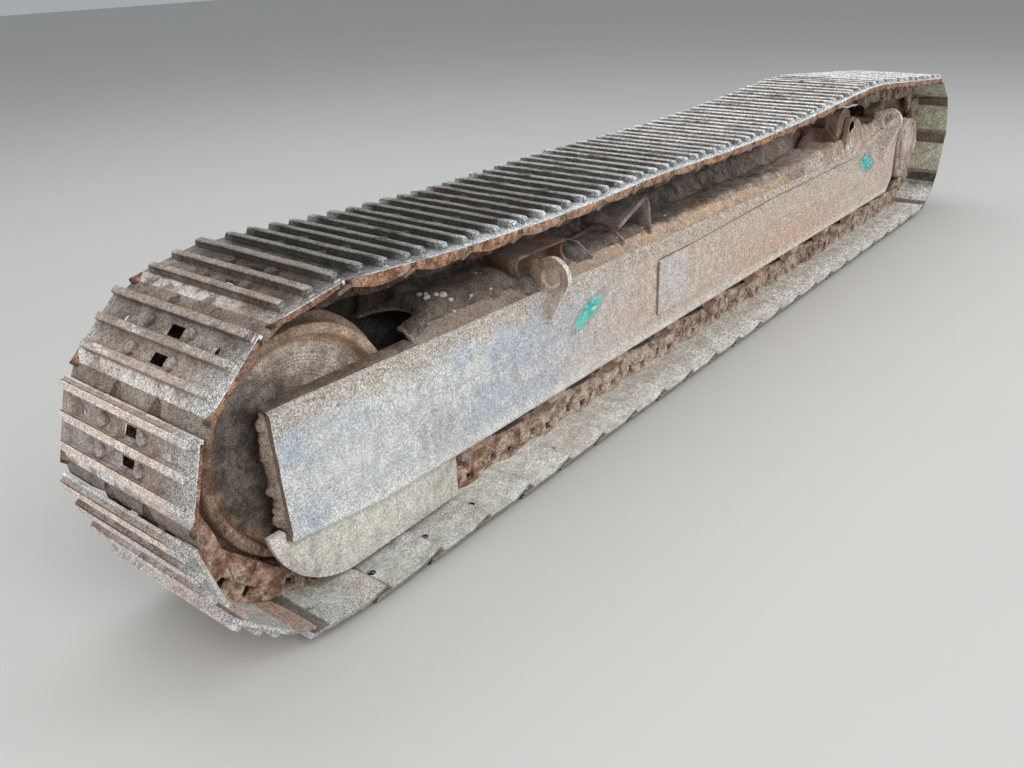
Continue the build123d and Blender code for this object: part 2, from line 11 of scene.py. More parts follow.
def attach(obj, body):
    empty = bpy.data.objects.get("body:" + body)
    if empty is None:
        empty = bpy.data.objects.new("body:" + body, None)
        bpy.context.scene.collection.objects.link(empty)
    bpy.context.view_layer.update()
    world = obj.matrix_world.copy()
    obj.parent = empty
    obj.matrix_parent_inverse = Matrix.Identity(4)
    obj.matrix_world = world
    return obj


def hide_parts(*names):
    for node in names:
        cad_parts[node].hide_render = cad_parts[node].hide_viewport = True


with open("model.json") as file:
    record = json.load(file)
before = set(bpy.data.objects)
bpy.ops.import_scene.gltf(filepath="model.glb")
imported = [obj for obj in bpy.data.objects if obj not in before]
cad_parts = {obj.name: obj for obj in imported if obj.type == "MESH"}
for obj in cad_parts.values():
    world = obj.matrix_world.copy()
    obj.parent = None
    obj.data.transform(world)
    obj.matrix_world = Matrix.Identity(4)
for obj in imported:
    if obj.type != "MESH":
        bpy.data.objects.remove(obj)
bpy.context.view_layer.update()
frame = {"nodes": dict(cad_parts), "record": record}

# ------------------------------------------------------------------ dimensions, in millimetres
# "u" runs along the track from the first shoe joint on the ground, X(u) is the model's own X.
START = -2006.582
pitch = 190.0
shoe_half = 250.0
pin_above_shoe = 54.0
plate_thick = 10.0
grouser_high = 20.0
rail_above_pin = 44.0
pin_z = 84.0
idler_u, idler_drop, idler_z = -30.0, 334.0, 418.0
sprocket_u = 4085.0
sprocket_pin_r = pitch / 2 / math.sin(math.pi / 10)
sprocket_z = pin_z + math.sqrt(sprocket_pin_r**2 - pitch**2 / 4)
top_supports = [(1150.0, 731.0), (1370.0, 731.0), (2800.0, 747.0), (3150.0, 761.0)]
first_sag, second_sag = 25.0, 25.0
side_out, side_in = 150.0, 138.0
fork_end_u, frame_end_u = -155.0, 3880.0
skirt_z, skirt_end_z = 195.0, 228.0
fold_z_front, fold_z_rear, fold_rear_u = 563.0, 492.0, 3300.0
roof_rise, roof_flat_half = 42.0, 88.0


def X(u):
    return u + START


def fold_z(u):
    if u <= fold_rear_u:
        return fold_z_front + (fold_z_rear - fold_z_front) * (u - fork_end_u) / (fold_rear_u - fork_end_u)
    return fold_z_rear + (u - fold_rear_u) * 0.16


def march(path, start, count):
    points, here, seg = [start], start, 0
    while len(points) <= count:
        while seg < len(path) - 1 and math.dist(here, path[seg + 1]) < pitch:
            seg += 1
        if seg >= len(path) - 1:
            break
        (ax, az), (bx, bz) = path[seg], path[seg + 1]
        low, high = 0.0, 1.0
        for _ in range(50):
            mid = (low + high) / 2
            if math.dist(here, (ax + (bx - ax) * mid, az + (bz - az) * mid)) < pitch:
                low = mid
            else:
                high = mid
        here = (ax + (bx - ax) * high, az + (bz - az) * high)
        points.append(here)
    return points


def chain_pins():
    pins = [(pitch * k, pin_z) for k in range(23)]
    for degrees in (-36, 0, 36, 72):
        a = math.radians(degrees)
        pins.append((sprocket_u + sprocket_pin_r * math.cos(a), sprocket_z + sprocket_pin_r * math.sin(a)))
    top_end = pins[-1]
    wrap_r = math.hypot(idler_drop, pitch / 2)
    dx, dz = idler_u, idler_drop
    d = math.hypot(dx, dz)
    a = (pitch**2 - wrap_r**2 + d * d) / (2 * d)
    h = math.sqrt(pitch**2 - a * a)
    first = (a * dx / d - h * dz / d, pin_z + a * dz / d + h * dx / d)
    angle = math.atan2(first[1] - idler_z, first[0] - idler_u)
    step = 2 * math.asin(pitch / 2 / wrap_r)
    wrap = [first]
    for _ in range(5):
        angle -= step
        wrap.append((idler_u + wrap_r * math.cos(angle), idler_z + wrap_r * math.sin(angle)))
    low, high = 0.0, 3.0
    for _ in range(40):
        sag = (low + high) / 2
        knots = [wrap[-1]] + top_supports + [top_end]
        sags = [first_sag * sag, 0.0, second_sag * sag, 0.0, 0.0]
        path = []
        for (sx, sz), (ex, ez), drop in zip(knots[:-1], knots[1:], sags):
            path += [(sx + (ex - sx) * i / 40, sz + (ez - sz) * i / 40 - 4 * drop * (i / 40) * (1 - i / 40))
                     for i in range(40)]
        path.append(top_end)
        points = march(path, wrap[-1], 21)
        if len(points) < 22 or math.dist(points[-1], top_end) < pitch:
            low = sag
        else:
            high = sag
    return pins + points[21:0:-1] + wrap[::-1]


pins = chain_pins()


def link_frames():
    """For each link: start pin (x, z), direction along it, and direction outwards, in the XZ plane."""
    out = []
    for i, (u, z) in enumerate(pins):
        nu, nz = pins[(i + 1) % len(pins)]
        ax, az = (nu - u) / pitch, (nz - z) / pitch
        out.append((X(u), z, ax, az, az, -ax))
    return out


links = link_frames()


# ------------------------------------------------------------------ mesh helpers
class Build:
    """Collects vertices (mm), faces and one local coordinate (mm) per vertex, for one piece."""

    def __init__(self):
        self.verts, self.faces, self.local, self.key = [], [], [], []

    def add(self, verts, faces, local=None, key=0.0):
        base = len(self.verts)
        self.verts += [tuple(v) for v in verts]
        self.local += [tuple(v) for v in (verts if local is None else local)]
        self.key += [key] * len(verts)
        self.faces += [tuple(base + i for i in f) for f in faces]

    def piece(self, name, material, body="root", slot=None, smooth=35.0, parts=()):
        mesh = bpy.data.meshes.new(name)
        mesh.from_pydata([(x * 0.001, y * 0.001, z * 0.001) for x, y, z in self.verts], [], self.faces)
        mesh.validate()
        bm = bmesh.new()
        bm.from_mesh(mesh)
        bmesh.ops.recalc_face_normals(bm, faces=bm.faces[:])
        bm.to_mesh(mesh)
        bm.free()
        mesh.update()
        if len(mesh.vertices) == len(self.local):
            at = mesh.attributes.new("place", "FLOAT_VECTOR", "POINT")
            at.data.foreach_set("vector", (np.array(self.local, np.float32) * 0.001).ravel())
            at = mesh.attributes.new("key", "FLOAT", "POINT")
            at.data.foreach_set("value", np.array(self.key, np.float32))
        mesh.materials.append(material)
        mesh.shade_smooth()
        mesh.set_sharp_from_angle(angle=math.radians(smooth))
        obj = bpy.data.objects.new(name, mesh)
        bpy.context.scene.collection.objects.link(obj)
        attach(obj, body)
        if parts:
            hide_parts(*parts)
        return obj


def cells(us, vs, keep, bottom, top, trim=None):
    """A sheet on a grid of us by vs, with the cells that keep(i, j) refuses left out, closed all round.
    bottom(u, v) and top(u, v) give its two faces. trim(i, j) may name one corner (0-3) to cut from a cell."""
    nu, nv = len(us), len(vs)
    index = lambda i, j: i * nv + j
    flats = []
    for i in range(nu - 1):
        for j in range(nv - 1):
            quad = [index(i, j), index(i + 1, j), index(i + 1, j + 1), index(i, j + 1)]
            if not keep(i, j):
                corner = trim(i, j) if trim else None
                if corner is None:
                    continue
                quad = [q for k, q in enumerate(quad) if k != corner]
            flats.append(quad)
    edges = {}
    for f in flats:
        for a, b in zip(f, f[1:] + f[:1]):
            edges[(a, b)] = edges.get((a, b), 0) + 1
    n = nu * nv
    pts = [(us[i], vs[j]) for i in range(nu) for j in range(nv)]
    verts = [bottom(u, v) for u, v in pts] + [top(u, v) for u, v in pts]
    faces = [tuple(reversed(f)) for f in flats] + [tuple(n + k for k in f) for f in flats]
    for (a, b), _ in edges.items():
        if (b, a) not in edges:
            faces.append((a, b, n + b, n + a))
    used = sorted({k for f in faces for k in f})
    remap = {k: m for m, k in enumerate(used)}
    return [verts[k] for k in used], [tuple(remap[k] for k in f) for f in faces]


def rings(loops, closed=True, caps=True):
    """Joins loops of equal length into a tube."""
    verts, faces = [], []
    n = len(loops[0])
    for loop in loops:
        verts += list(loop)
    for k in range(len(loops) - 1):
        for i in range(n if closed else n - 1):
            j = (i + 1) % n
            faces.append((k * n + i, k * n + j, (k + 1) * n + j, (k + 1) * n + i))
    if caps:
        faces.append(tuple(range(n))[::-1])
        faces.append(tuple((len(loops) - 1) * n + i for i in range(n)))
    return verts, faces


def lathe(profile, centre, segments, wobble=None):
    """profile is (radius, y) around a Y axis through centre (x, z)."""
    verts, faces = [], []
    n = len(profile)
    for s in range(segments):
        t = 2 * math.pi * s / segments
        for k, (r, y) in enumerate(profile):
            rr = r + (wobble(r, y, t) if wobble else 0.0)
            verts.append((centre[0] + rr * math.cos(t), y, centre[1] + rr * math.sin(t)))
    for s in range(segments):
        q = (s + 1) % segments
        for k in range(n):
            m = (k + 1) % n
            faces.append((s * n + k, q * n + k, q * n + m, s * n + m))
    return verts, faces


def disc_stack(steps, centre, segments, axis="y"):
    """Stacked discs (radius, y) from one end to the other, closed at both ends."""
    loops = []
    for r, y in steps:
        loops.append([(centre[0] + r * math.cos(2 * math.pi * s / segments), y, centre[1] + r * math.sin(2 * math.pi * s / segments))
                      for s in range(segments)])
    return rings(loops)


def soften(verts, faces, width, segments=1, angle=32.0):
    """Bevels the sharp edges of a small mesh."""
    bm = bmesh.new()
    vs = [bm.verts.new(v) for v in verts]
    for f in faces:
        try:
            bm.faces.new([vs[i] for i in f])
        except ValueError:
            pass
    bm.normal_update()
    bmesh.ops.recalc_face_normals(bm, faces=bm.faces[:])
    sharp = [e for e in bm.edges if len(e.link_faces) == 2 and e.calc_face_angle(0.0) > math.radians(angle)]
    bmesh.ops.bevel(bm, geom=sharp, offset=width, offset_type="OFFSET", segments=segments, profile=0.6, affect="EDGES", clamp_overlap=True)
    bm.verts.index_update()
    out_v = [tuple(v.co) for v in bm.verts]
    out_f = [tuple(v.index for v in f.verts) for f in bm.faces]
    bm.free()
    return out_v, out_f


def fbm(p, scale, octaves=4, seed=0.0):
    return noise.fractal(Vector((p[0] / scale + seed, p[1] / scale - seed * 1.7, p[2] / scale + seed * 0.6)), 1.0, 2.0, octaves)


# ------------------------------------------------------------------ material helpers
class Nodes:
    def __init__(self, name):
        self.mat = bpy.data.materials.new(name)
        self.mat.use_nodes = True
        self.tree = self.mat.node_tree
        self.tree.nodes.clear()
        self.out = self.tree.nodes.new("ShaderNodeOutputMaterial")
        self.bsdf = self.tree.nodes.new("ShaderNodeBsdfPrincipled")
        self.link(self.bsdf.outputs[0], self.out.inputs[0])
        self.geo = self.tree.nodes.new("ShaderNodeNewGeometry")
        self.xyz = self.tree.nodes.new("ShaderNodeSeparateXYZ")
        self.link(self.geo.outputs["Position"], self.xyz.inputs[0])
        self.nrm = self.tree.nodes.new("ShaderNodeSeparateXYZ")
        self.link(self.geo.outputs["Normal"], self.nrm.inputs[0])

    def link(self, a, b):
        self.tree.links.new(a, b)

    def put(self, socket, value):
        if isinstance(value, (int, float)):
            socket.default_value = value
        elif isinstance(value, (tuple, list)):
            socket.default_value = tuple(value) + ((1.0,) if len(value) == 3 and len(socket.default_value) == 4 else ())
        else:
            self.link(value, socket)

    def math(self, kind, a, b=None, c=None, clamp=False):
        n = self.tree.nodes.new("ShaderNodeMath")
        n.operation = kind
        n.use_clamp = clamp
        for s, v in zip(n.inputs, (a, b, c)):
            if v is not None:
                self.put(s, v)
        return n.outputs[0]

    def place(self):
        n = self.tree.nodes.new("ShaderNodeAttribute")
        n.attribute_name = "place"
        return n.outputs["Vector"]

    def key(self):
        n = self.tree.nodes.new("ShaderNodeAttribute")
        n.attribute_name = "key"
        return n.outputs["Fac"]

    def split(self, vector):
        n = self.tree.nodes.new("ShaderNodeSeparateXYZ")
        self.link(vector, n.inputs[0])
        return n.outputs

    def stretch(self, vector, scale, shift=(0, 0, 0)):
        n = self.tree.nodes.new("ShaderNodeMapping")
        self.link(vector, n.inputs["Vector"])
        n.inputs["Scale"].default_value = scale
        n.inputs["Location"].default_value = shift
        return n.outputs[0]

    def noise(self, scale, detail=4.0, rough=0.55, vector=None, distortion=0.0, out="Fac"):
        n = self.tree.nodes.new("ShaderNodeTexNoise")
        n.inputs["Scale"].default_value = scale
        n.inputs["Detail"].default_value = detail
        n.inputs["Roughness"].default_value = rough
        n.inputs["Distortion"].default_value = distortion
        self.link(vector if vector is not None else self.geo.outputs["Position"], n.inputs["Vector"])
        return n.outputs[out]

    def voronoi(self, scale, vector=None, feature="F1", out="Distance", randomness=1.0):
        n = self.tree.nodes.new("ShaderNodeTexVoronoi")
        n.feature = feature
        n.inputs["Scale"].default_value = scale
        n.inputs["Randomness"].default_value = randomness
        self.link(vector if vector is not None else self.geo.outputs["Position"], n.inputs["Vector"])
        return n.outputs[out]

    def ramp(self, value, low, high, out_low=0.0, out_high=1.0, smooth=True):
        n = self.tree.nodes.new("ShaderNodeMapRange")
        n.interpolation_type = "SMOOTHSTEP" if smooth else "LINEAR"
        self.put(n.inputs[0], value)
        self.put(n.inputs[1], low)
        self.put(n.inputs[2], high)
        self.put(n.inputs[3], out_low)
        self.put(n.inputs[4], out_high)
        return n.outputs[0]

    def mix(self, fac, a, b, blend="MIX"):
        n = self.tree.nodes.new("ShaderNodeMix")
        n.data_type = "RGBA"
        n.blend_type = blend
        n.clamp_factor = True
        self.put(n.inputs[0], fac)
        self.put(n.inputs[6], a)
        self.put(n.inputs[7], b)
        return n.outputs[2]

    def mul(self, *values):
        out = values[0]
        for v in values[1:]:
            out = self.math("MULTIPLY", out, v)
        return out

    def bump(self, height, strength, distance, normal=None):
        n = self.tree.nodes.new("ShaderNodeBump")
        n.inputs["Strength"].default_value = strength
        n.inputs["Distance"].default_value = distance
        self.link(height, n.inputs["Height"])
        if normal is not None:
            self.link(normal, n.inputs["Normal"])
        return n.outputs[0]

    def finish(self, colour, rough, normal=None, metal=None, spec=0.4):
        self.put(self.bsdf.inputs["Base Color"], colour)
        self.put(self.bsdf.inputs["Roughness"], rough)
        self.bsdf.inputs["Specular IOR Level"].default_value = spec
        if metal is not None:
            self.put(self.bsdf.inputs["Metallic"], metal)
        if normal is not None:
            self.link(normal, self.bsdf.inputs["Normal"])
        return self.mat


def over_line(m, start, slope):
    """Height of a point above a line in the side view, start (u, z) in mm and slope in z per u."""
    x0, z0 = X(start[0]) * 0.001, start[1] * 0.001
    line = m.math("MULTIPLY_ADD", m.xyz.outputs[0], slope, z0 - slope * x0)
    return m.math("SUBTRACT", m.xyz.outputs[2], line)


def specks(m, low=0.6, high=1.35, vector=None, coarse=330):
    """Fine dust speckle as a multiplier, with slow drifts of lighter and darker ground."""
    a = m.noise(coarse, 2, 0.65, vector)
    b = m.noise(coarse * 0.38, 3, 0.65, vector)
    far = m.ramp(m.xyz.outputs[0], X(500) * 0.001, X(2600) * 0.001, 0.30, 0.62)
    s = m.math("ADD", a, m.mul(m.math("SUBTRACT", b, a), far))
    drift = m.ramp(m.noise(27, 3, 0.6, vector), 0.36, 0.64, 0.90, 1.10)
    return m.mul(m.ramp(s, 0.385, 0.615, low, high), drift), s


def tint(m, colour, factor):
    """Multiplies a colour by a factor."""
    n = m.tree.nodes.new("ShaderNodeVectorMath")
    n.operation = "SCALE"
    m.link(colour, n.inputs[0])
    m.put(n.inputs["Scale"], factor)
    return n.outputs[0]


def dusty(name, base, rust, dust, rust_share=0.3, dust_share=0.5, up_dust=0.35, low=0.62, high=1.32, seed=0.0, bump=0.5, place=False):
    """Weathered steel: base, rust patches, dust that lies thicker on top, and fine speckle."""
    m = Nodes(name)
    v = m.place() if place else m.stretch(m.geo.outputs["Position"], (1, 1, 1), (seed, seed * 0.7, -seed))
    big, mid = m.noise(4.5, 3, 0.6, v), m.noise(22, 6, 0.65, v)
    mult, raw = specks(m, low, high, v)
    patch = m.math("ADD", m.mul(big, 0.55), m.mul(mid, 0.45))
    colour = m.mix(m.ramp(mid, 0.35, 0.65), tuple(c * 0.75 for c in base), tuple(min(1, c * 1.15) for c in base))
    colour = m.mix(m.ramp(patch, 0.60 - rust_share * 0.30, 0.66 - rust_share * 0.18), colour, m.mix(raw, tuple(c * 0.7 for c in rust), tuple(min(1, c * 1.35) for c in rust)))
    up = m.ramp(m.nrm.outputs[2], 0.05, 0.85, 0.0, up_dust)
    cover = m.math("ADD", m.ramp(m.noise(11, 6, 0.7, m.stretch(v, (1, 1, 0.6), (3, 1, 2))), 0.62 - dust_share * 0.35, 0.70 - dust_share * 0.12), up, clamp=True)
    colour = m.mix(m.math("MULTIPLY", cover, 0.92), colour, m.mix(mid, tuple(c * 0.88 for c in dust), tuple(min(1, c * 1.1) for c in dust)))
    colour = tint(m, colour, mult)
    height = m.math("ADD", m.mul(raw, 0.8), m.mul(mid, 0.5))
    return m.finish(colour, m.ramp(raw, 0.35, 0.6, 0.95, 0.72), m.bump(height, bump, 0.004), spec=0.25)


def side_paint_and_highlights():
    """The outer side plate: pale worn grey paint at the idler, pinkish rust under dust further on, with painted
    highlights along the bottom strip and on the teal patches.
    """
    m = Nodes("side_paint_and_highlights")
    pos = m.geo.outputs["Position"]
    big, mid = m.noise(3.2, 4, 0.6), m.noise(16, 6, 0.65)
    mult, raw = specks(m, 0.58, 1.40)
    grey = m.mix(m.ramp(m.math("ADD", m.mul(big, 0.5), m.mul(mid, 0.5)), 0.42, 0.58), (0.50, 0.54, 0.60), (0.66, 0.67, 0.66))
    streaks = m.noise(1.0, 5, 0.6, m.stretch(pos, (34, 34, 1.5)))
    below = over_line(m, (fork_end_u, fold_z_front), (fold_z_rear - fold_z_front) / (fold_rear_u - fork_end_u))
    middle = m.mul(m.ramp(below, -0.34, -0.20), m.ramp(below, -0.03, -0.10))
    grey = m.mix(m.mul(m.ramp(streaks, 0.60, 0.68), middle, 0.6), grey, (0.80, 0.80, 0.78))
    shade = m.noise(1.0, 4, 0.6, m.stretch(pos, (6, 6, 2.2), (5, 5, 5)))
    blot = m.mul(m.ramp(shade, 0.53, 0.66), m.ramp(m.xyz.outputs[0], X(60) * 0.001, X(250) * 0.001), 0.55)
    grey = m.mix(blot, grey, (0.36, 0.35, 0.35))
    pink = m.mix(m.ramp(mid, 0.38, 0.62), (0.62, 0.44, 0.34), (0.60, 0.53, 0.46))
    pink = m.mix(m.ramp(big, 0.55, 0.68), pink, (0.52, 0.36, 0.26))
    glow = m.mul(m.ramp(m.math("ADD", m.xyz.outputs[0], m.math("MULTIPLY", m.math("SUBTRACT", big, 0.5), 0.9)), X(1750) * 0.001, X(2150) * 0.001), m.ramp(m.xyz.outputs[0], X(3250) * 0.001, X(2850) * 0.001), m.ramp(m.math("ADD", m.xyz.outputs[2], m.math("MULTIPLY", m.math("SUBTRACT", mid, 0.5), 0.15)), 0.40, 0.27))
    pink = m.mix(m.mul(glow, 0.7), pink, m.mix(raw, (0.56, 0.34, 0.22), (0.68, 0.47, 0.33)))
    along = m.math("ADD", m.ramp(m.xyz.outputs[0], X(620) * 0.001, X(1500) * 0.001, 0.0, 0.78), m.mul(m.ramp(mid, 0.45, 0.6), m.ramp(m.xyz.outputs[0], X(450) * 0.001, X(900) * 0.001, 0.0, 0.35)), clamp=True)
    colour = m.mix(along, grey, pink)
    cover = m.mul(m.ramp(m.xyz.outputs[1], -0.1552, -0.1560), m.ramp(m.xyz.outputs[0], X(1435) * 0.001, X(1440) * 0.001), m.ramp(m.xyz.outputs[0], X(1648) * 0.001, X(1642) * 0.001))
    colour = m.mix(m.mul(cover, 0.6), colour, m.mix(mid, (0.50, 0.50, 0.52), (0.70, 0.69, 0.68)))
    top = m.ramp(m.math("ADD", below, m.math("MULTIPLY", m.math("SUBTRACT", mid, 0.5), 0.16)), -0.085, -0.012)
    colour = m.mix(m.mul(top, 0.85), colour, m.mix(m.ramp(raw, 0.4, 0.6), (0.40, 0.32, 0.26), (0.60, 0.54, 0.48)))
    spots = m.ramp(m.voronoi(21, m.stretch(pos, (1, 1, 1.0), (0.3, 0, 0.1))), 0.12, 0.03)
    spots = m.mul(spots, m.ramp(m.noise(2.4, 2), 0.50, 0.6))
    colour = m.mix(m.mul(spots, 0.8), colour, (0.26, 0.12, 0.07))
    # painted highlight: a pale band along the bottom strip stands for light caught by the skirt's lower edge
    skirt = over_line(m, (120, skirt_z + 4), -0.004)
    foot = m.mul(m.ramp(skirt, 0.055, 0.018), m.ramp(skirt, 0.002, 0.010))
    colour = m.mix(m.mul(foot, 0.55), colour, (0.74, 0.73, 0.69))
    under = m.ramp(m.math("ADD", skirt, m.math("MULTIPLY", m.math("SUBTRACT", mid, 0.5), 0.02)), 0.009, 0.002)
    colour = m.mix(m.mul(under, m.ramp(m.xyz.outputs[0], X(100) * 0.001, X(500) * 0.001), 0.9), colour, (0.55, 0.29, 0.16))
    colour = m.mix(m.mul(m.ramp(m.nrm.outputs[0], -0.6, -0.9), 0.9), colour, m.mix(raw, (0.20, 0.12, 0.08), (0.42, 0.33, 0.26)))
    within = m.ramp(m.math("ABSOLUTE", m.xyz.outputs[1]), 0.1420, 0.1395)
    colour = m.mix(m.mul(within, 0.88), colour, m.mix(m.ramp(mid, 0.38, 0.6), (0.070, 0.055, 0.045), (0.20, 0.160, 0.132)))
    colour = tint(m, colour, mult)
    for (u, z), half_u, half_z, slope in (((1028, 412), 80, 29, 0.35), ((3450, 412), 92, 34, -0.2)):
        du = m.math("MULTIPLY", m.math("SUBTRACT", m.xyz.outputs[0], X(u) * 0.001), 1000.0 / half_u)
        dz = m.math("SUBTRACT", m.xyz.outputs[2], z * 0.001)
        dz = m.math("MULTIPLY", m.math("SUBTRACT", dz, m.math("MULTIPLY", m.math("SUBTRACT", m.xyz.outputs[0], X(u) * 0.001), slope)), 1000.0 / half_z)
        d = m.math("ADD", m.mul(du, du), m.mul(dz, dz))
        d = m.math("ADD", d, m.math("MULTIPLY", m.math("SUBTRACT", m.noise(34, 4, 0.7), 0.5), 2.2))
        mark = m.mul(m.ramp(d, 1.15, 0.75), m.ramp(m.nrm.outputs[1], -0.5, -0.8))
        if u > 2000:
            drip = m.mul(m.ramp(m.math("ABSOLUTE", m.math("ADD", du, -0.1)), 0.75, 0.35), m.ramp(dz, 0.7, 1.1), m.ramp(dz, 3.2, 2.2), m.ramp(m.noise(30, 4, 0.7), 0.40, 0.52))
            colour = m.mix(m.mul(drip, 0.55), colour, (0.25, 0.245, 0.24))
        ring = m.mul(m.ramp(d, 2.0, 1.3), m.ramp(d, 0.8, 1.1), m.ramp(m.nrm.outputs[1], -0.5, -0.8))
        colour = m.mix(m.mul(ring, 0.45), colour, (0.20, 0.19, 0.18))
        colour = m.mix(m.mul(mark, m.ramp(raw, 0.38, 0.5, 0.75, 1.0)), colour, m.mix(m.ramp(mid, 0.4, 0.6), (0.03, 0.44, 0.39), (0.16, 0.66, 0.60)))
        # painted highlights: short white dashes over each teal patch
        highlight_flecks = m.mul(mark, m.ramp(m.noise(60, 3, 0.7, m.stretch(pos, (0.5, 1, 1.6), (2, 2, 2))), 0.56, 0.62))
        colour = m.mix(m.mul(highlight_flecks, 0.8), colour, (0.80, 0.84, 0.82))
    height = m.math("ADD", m.mul(raw, 0.7), m.math("ADD", m.mul(mid, 0.5), m.mul(spots, -0.5)))
    return m.finish(colour, m.ramp(raw, 0.38, 0.6, 0.9, 0.6), m.bump(height, 0.45, 0.003), spec=0.3)


def roof_dirt():
    """Frame roof: brown caked dirt on the flat, paler dust and grit on the slope."""
    m = Nodes("roof_dirt")
    big, mid = m.noise(3.6, 4, 0.6), m.noise(19, 7, 0.7)
    mult, raw = specks(m, 0.55, 1.45)
    flat = m.mix(m.ramp(mid, 0.36, 0.62), (0.20, 0.155, 0.125), (0.36, 0.29, 0.24))
    flat = m.mix(m.ramp(big, 0.5, 0.62), flat, (0.30, 0.20, 0.14))
    slope = m.mix(m.ramp(mid, 0.35, 0.62), (0.47, 0.34, 0.265), (0.60, 0.505, 0.43))
    slope = m.mix(m.ramp(big, 0.52, 0.64), slope, (0.56, 0.40, 0.24))
    warm = m.mul(m.ramp(m.xyz.outputs[0], X(1180) * 0.001, X(1420) * 0.001), m.ramp(m.xyz.outputs[0], X(2700) * 0.001, X(2200) * 0.001), m.ramp(m.math("ADD", m.mul(big, 0.6), m.mul(mid, 0.4)), 0.42, 0.54))
    slope = m.mix(m.mul(warm, 0.75), slope, m.mix(raw, (0.66, 0.42, 0.29), (0.80, 0.62, 0.47)))
    edge = m.math("ADD", m.math("ABSOLUTE", m.xyz.outputs[1]), m.math("MULTIPLY", m.math("SUBTRACT", mid, 0.5), 0.035))
    colour = m.mix(m.ramp(edge, 0.086, 0.104), flat, slope)
    near = m.ramp(m.xyz.outputs[0], X(1150) * 0.001, X(700) * 0.001)
    colour = m.mix(m.mul(near, 0.75), colour, m.mix(mid, (0.18, 0.138, 0.11), (0.40, 0.34, 0.295)))
    grit = m.ramp(m.voronoi(115), 0.30, 0.16)
    grit = m.mul(grit, m.ramp(m.noise(9, 3), 0.52, 0.62))
    colour = m.mix(m.mul(grit, 0.75), colour, (0.66, 0.63, 0.58))
    colour = tint(m, colour, mult)
    height = m.math("ADD", m.mul(raw, 0.8), m.math("ADD", m.mul(mid, 0.9), m.mul(grit, 0.6)))
    return m.finish(colour, 0.93, m.bump(height, 0.7, 0.006), spec=0.15)


def idler_metal():
    """Idler: red-brown rust on the rim, dark web; web and rim paler towards the upper rear, partly dust and partly
    painted light.
    """
    m = Nodes("idler_rust_and_light")
    v = m.place()
    x, y, z = m.split(v)
    r = m.math("SQRT", m.math("ADD", m.mul(x, x), m.mul(z, z)))
    big, mid = m.noise(5, 4, 0.6, v), m.noise(26, 6, 0.7, v)
    mult, raw = specks(m, 0.55, 1.5, v)
    rings_ = m.noise(1.0, 3, 0.6, m.math_vector(r, 260.0))
    web = m.mix(m.ramp(mid, 0.36, 0.6), (0.085, 0.070, 0.060), (0.200, 0.170, 0.152))
    # painted light: paler towards the upper rear, partly dust and partly the fall of light
    dust_and_light = m.math("ADD", m.math("MULTIPLY", z, 2.2), m.math("MULTIPLY", x, 1.6))
    dust_and_light = m.math("ADD", dust_and_light, m.math("MULTIPLY", m.math("SUBTRACT", big, 0.5), 1.3))
    web = m.mix(m.ramp(dust_and_light, -0.05, 0.45, 0.0, 0.95), web, m.mix(m.ramp(mid, 0.4, 0.6), (0.58, 0.46, 0.38), (0.86, 0.76, 0.66)))
    turned = m.math("ADD", r, m.math("MULTIPLY", m.math("SUBTRACT", big, 0.5), 0.02))
    swirl = m.noise(1.0, 5, 0.72, m.math_vector(turned, 150.0))
    high = m.ramp(dust_and_light, -0.15, 0.35)
    web = m.mix(m.mul(m.ramp(swirl, 0.49, 0.58, 0.0, 0.62), m.math("MAXIMUM", high, 0.5)), web, m.mix(mid, (0.12, 0.085, 0.066), (0.30, 0.20, 0.14)))
    web = m.mix(m.mul(m.ramp(swirl, 0.45, 0.38, 0.0, 0.55), m.math("MAXIMUM", high, 0.35)), web, (0.62, 0.55, 0.49))
    rim = m.mix(m.ramp(mid, 0.38, 0.6), (0.165, 0.092, 0.060), (0.34, 0.23, 0.165))
    rim = m.mix(m.ramp(rings_, 0.5, 0.62, 0.0, 0.5), rim, (0.11, 0.068, 0.05))
    rim = m.mix(m.ramp(dust_and_light, 0.05, 0.55, 0.0, 0.85), rim, m.mix(mid, (0.50, 0.32, 0.20), (0.74, 0.58, 0.45)))
    edge = m.math("ADD", r, m.math("MULTIPLY", m.math("SUBTRACT", mid, 0.5), 0.03))
    colour = m.mix(m.ramp(edge, 0.222, 0.240), web, rim)
    tread = m.ramp(m.math("ADD", r, 0.0), 0.2772, 0.2785)
    tread = m.mul(tread, m.ramp(m.math("ABSOLUTE", y), 0.090, 0.086))
    colour = m.mix(m.mul(tread, 0.7), colour, m.mix(raw, (0.25, 0.15, 0.10), (0.50, 0.40, 0.33)))
    drips = m.noise(1.0, 4, 0.6, m.stretch(v, (42, 42, 3.2), (2, 0, 1)))
    drips = m.mul(m.ramp(drips, 0.62, 0.68), m.ramp(r, 0.236, 0.215), m.ramp(m.noise(5, 2, 0.5, v), 0.47, 0.56))
    colour = m.mix(m.mul(drips, 0.65), colour, (0.56, 0.52, 0.48))
    dots = m.ramp(m.voronoi(95, v), 0.20, 0.07)
    colour = m.mix(m.mul(dots, m.ramp(m.noise(12, 3, 0.6, v), 0.5, 0.6), 0.6), colour, (0.56, 0.53, 0.50))
    colour = tint(m, colour, mult)
    height = m.math("ADD", m.mul(raw, 0.8), m.math("ADD", m.mul(mid, 0.7), m.mul(rings_, 0.35)))
    return m.finish(colour, m.ramp(raw, 0.35, 0.6, 0.92, 0.65), m.bump(height, 0.55, 0.004), spec=0.25)


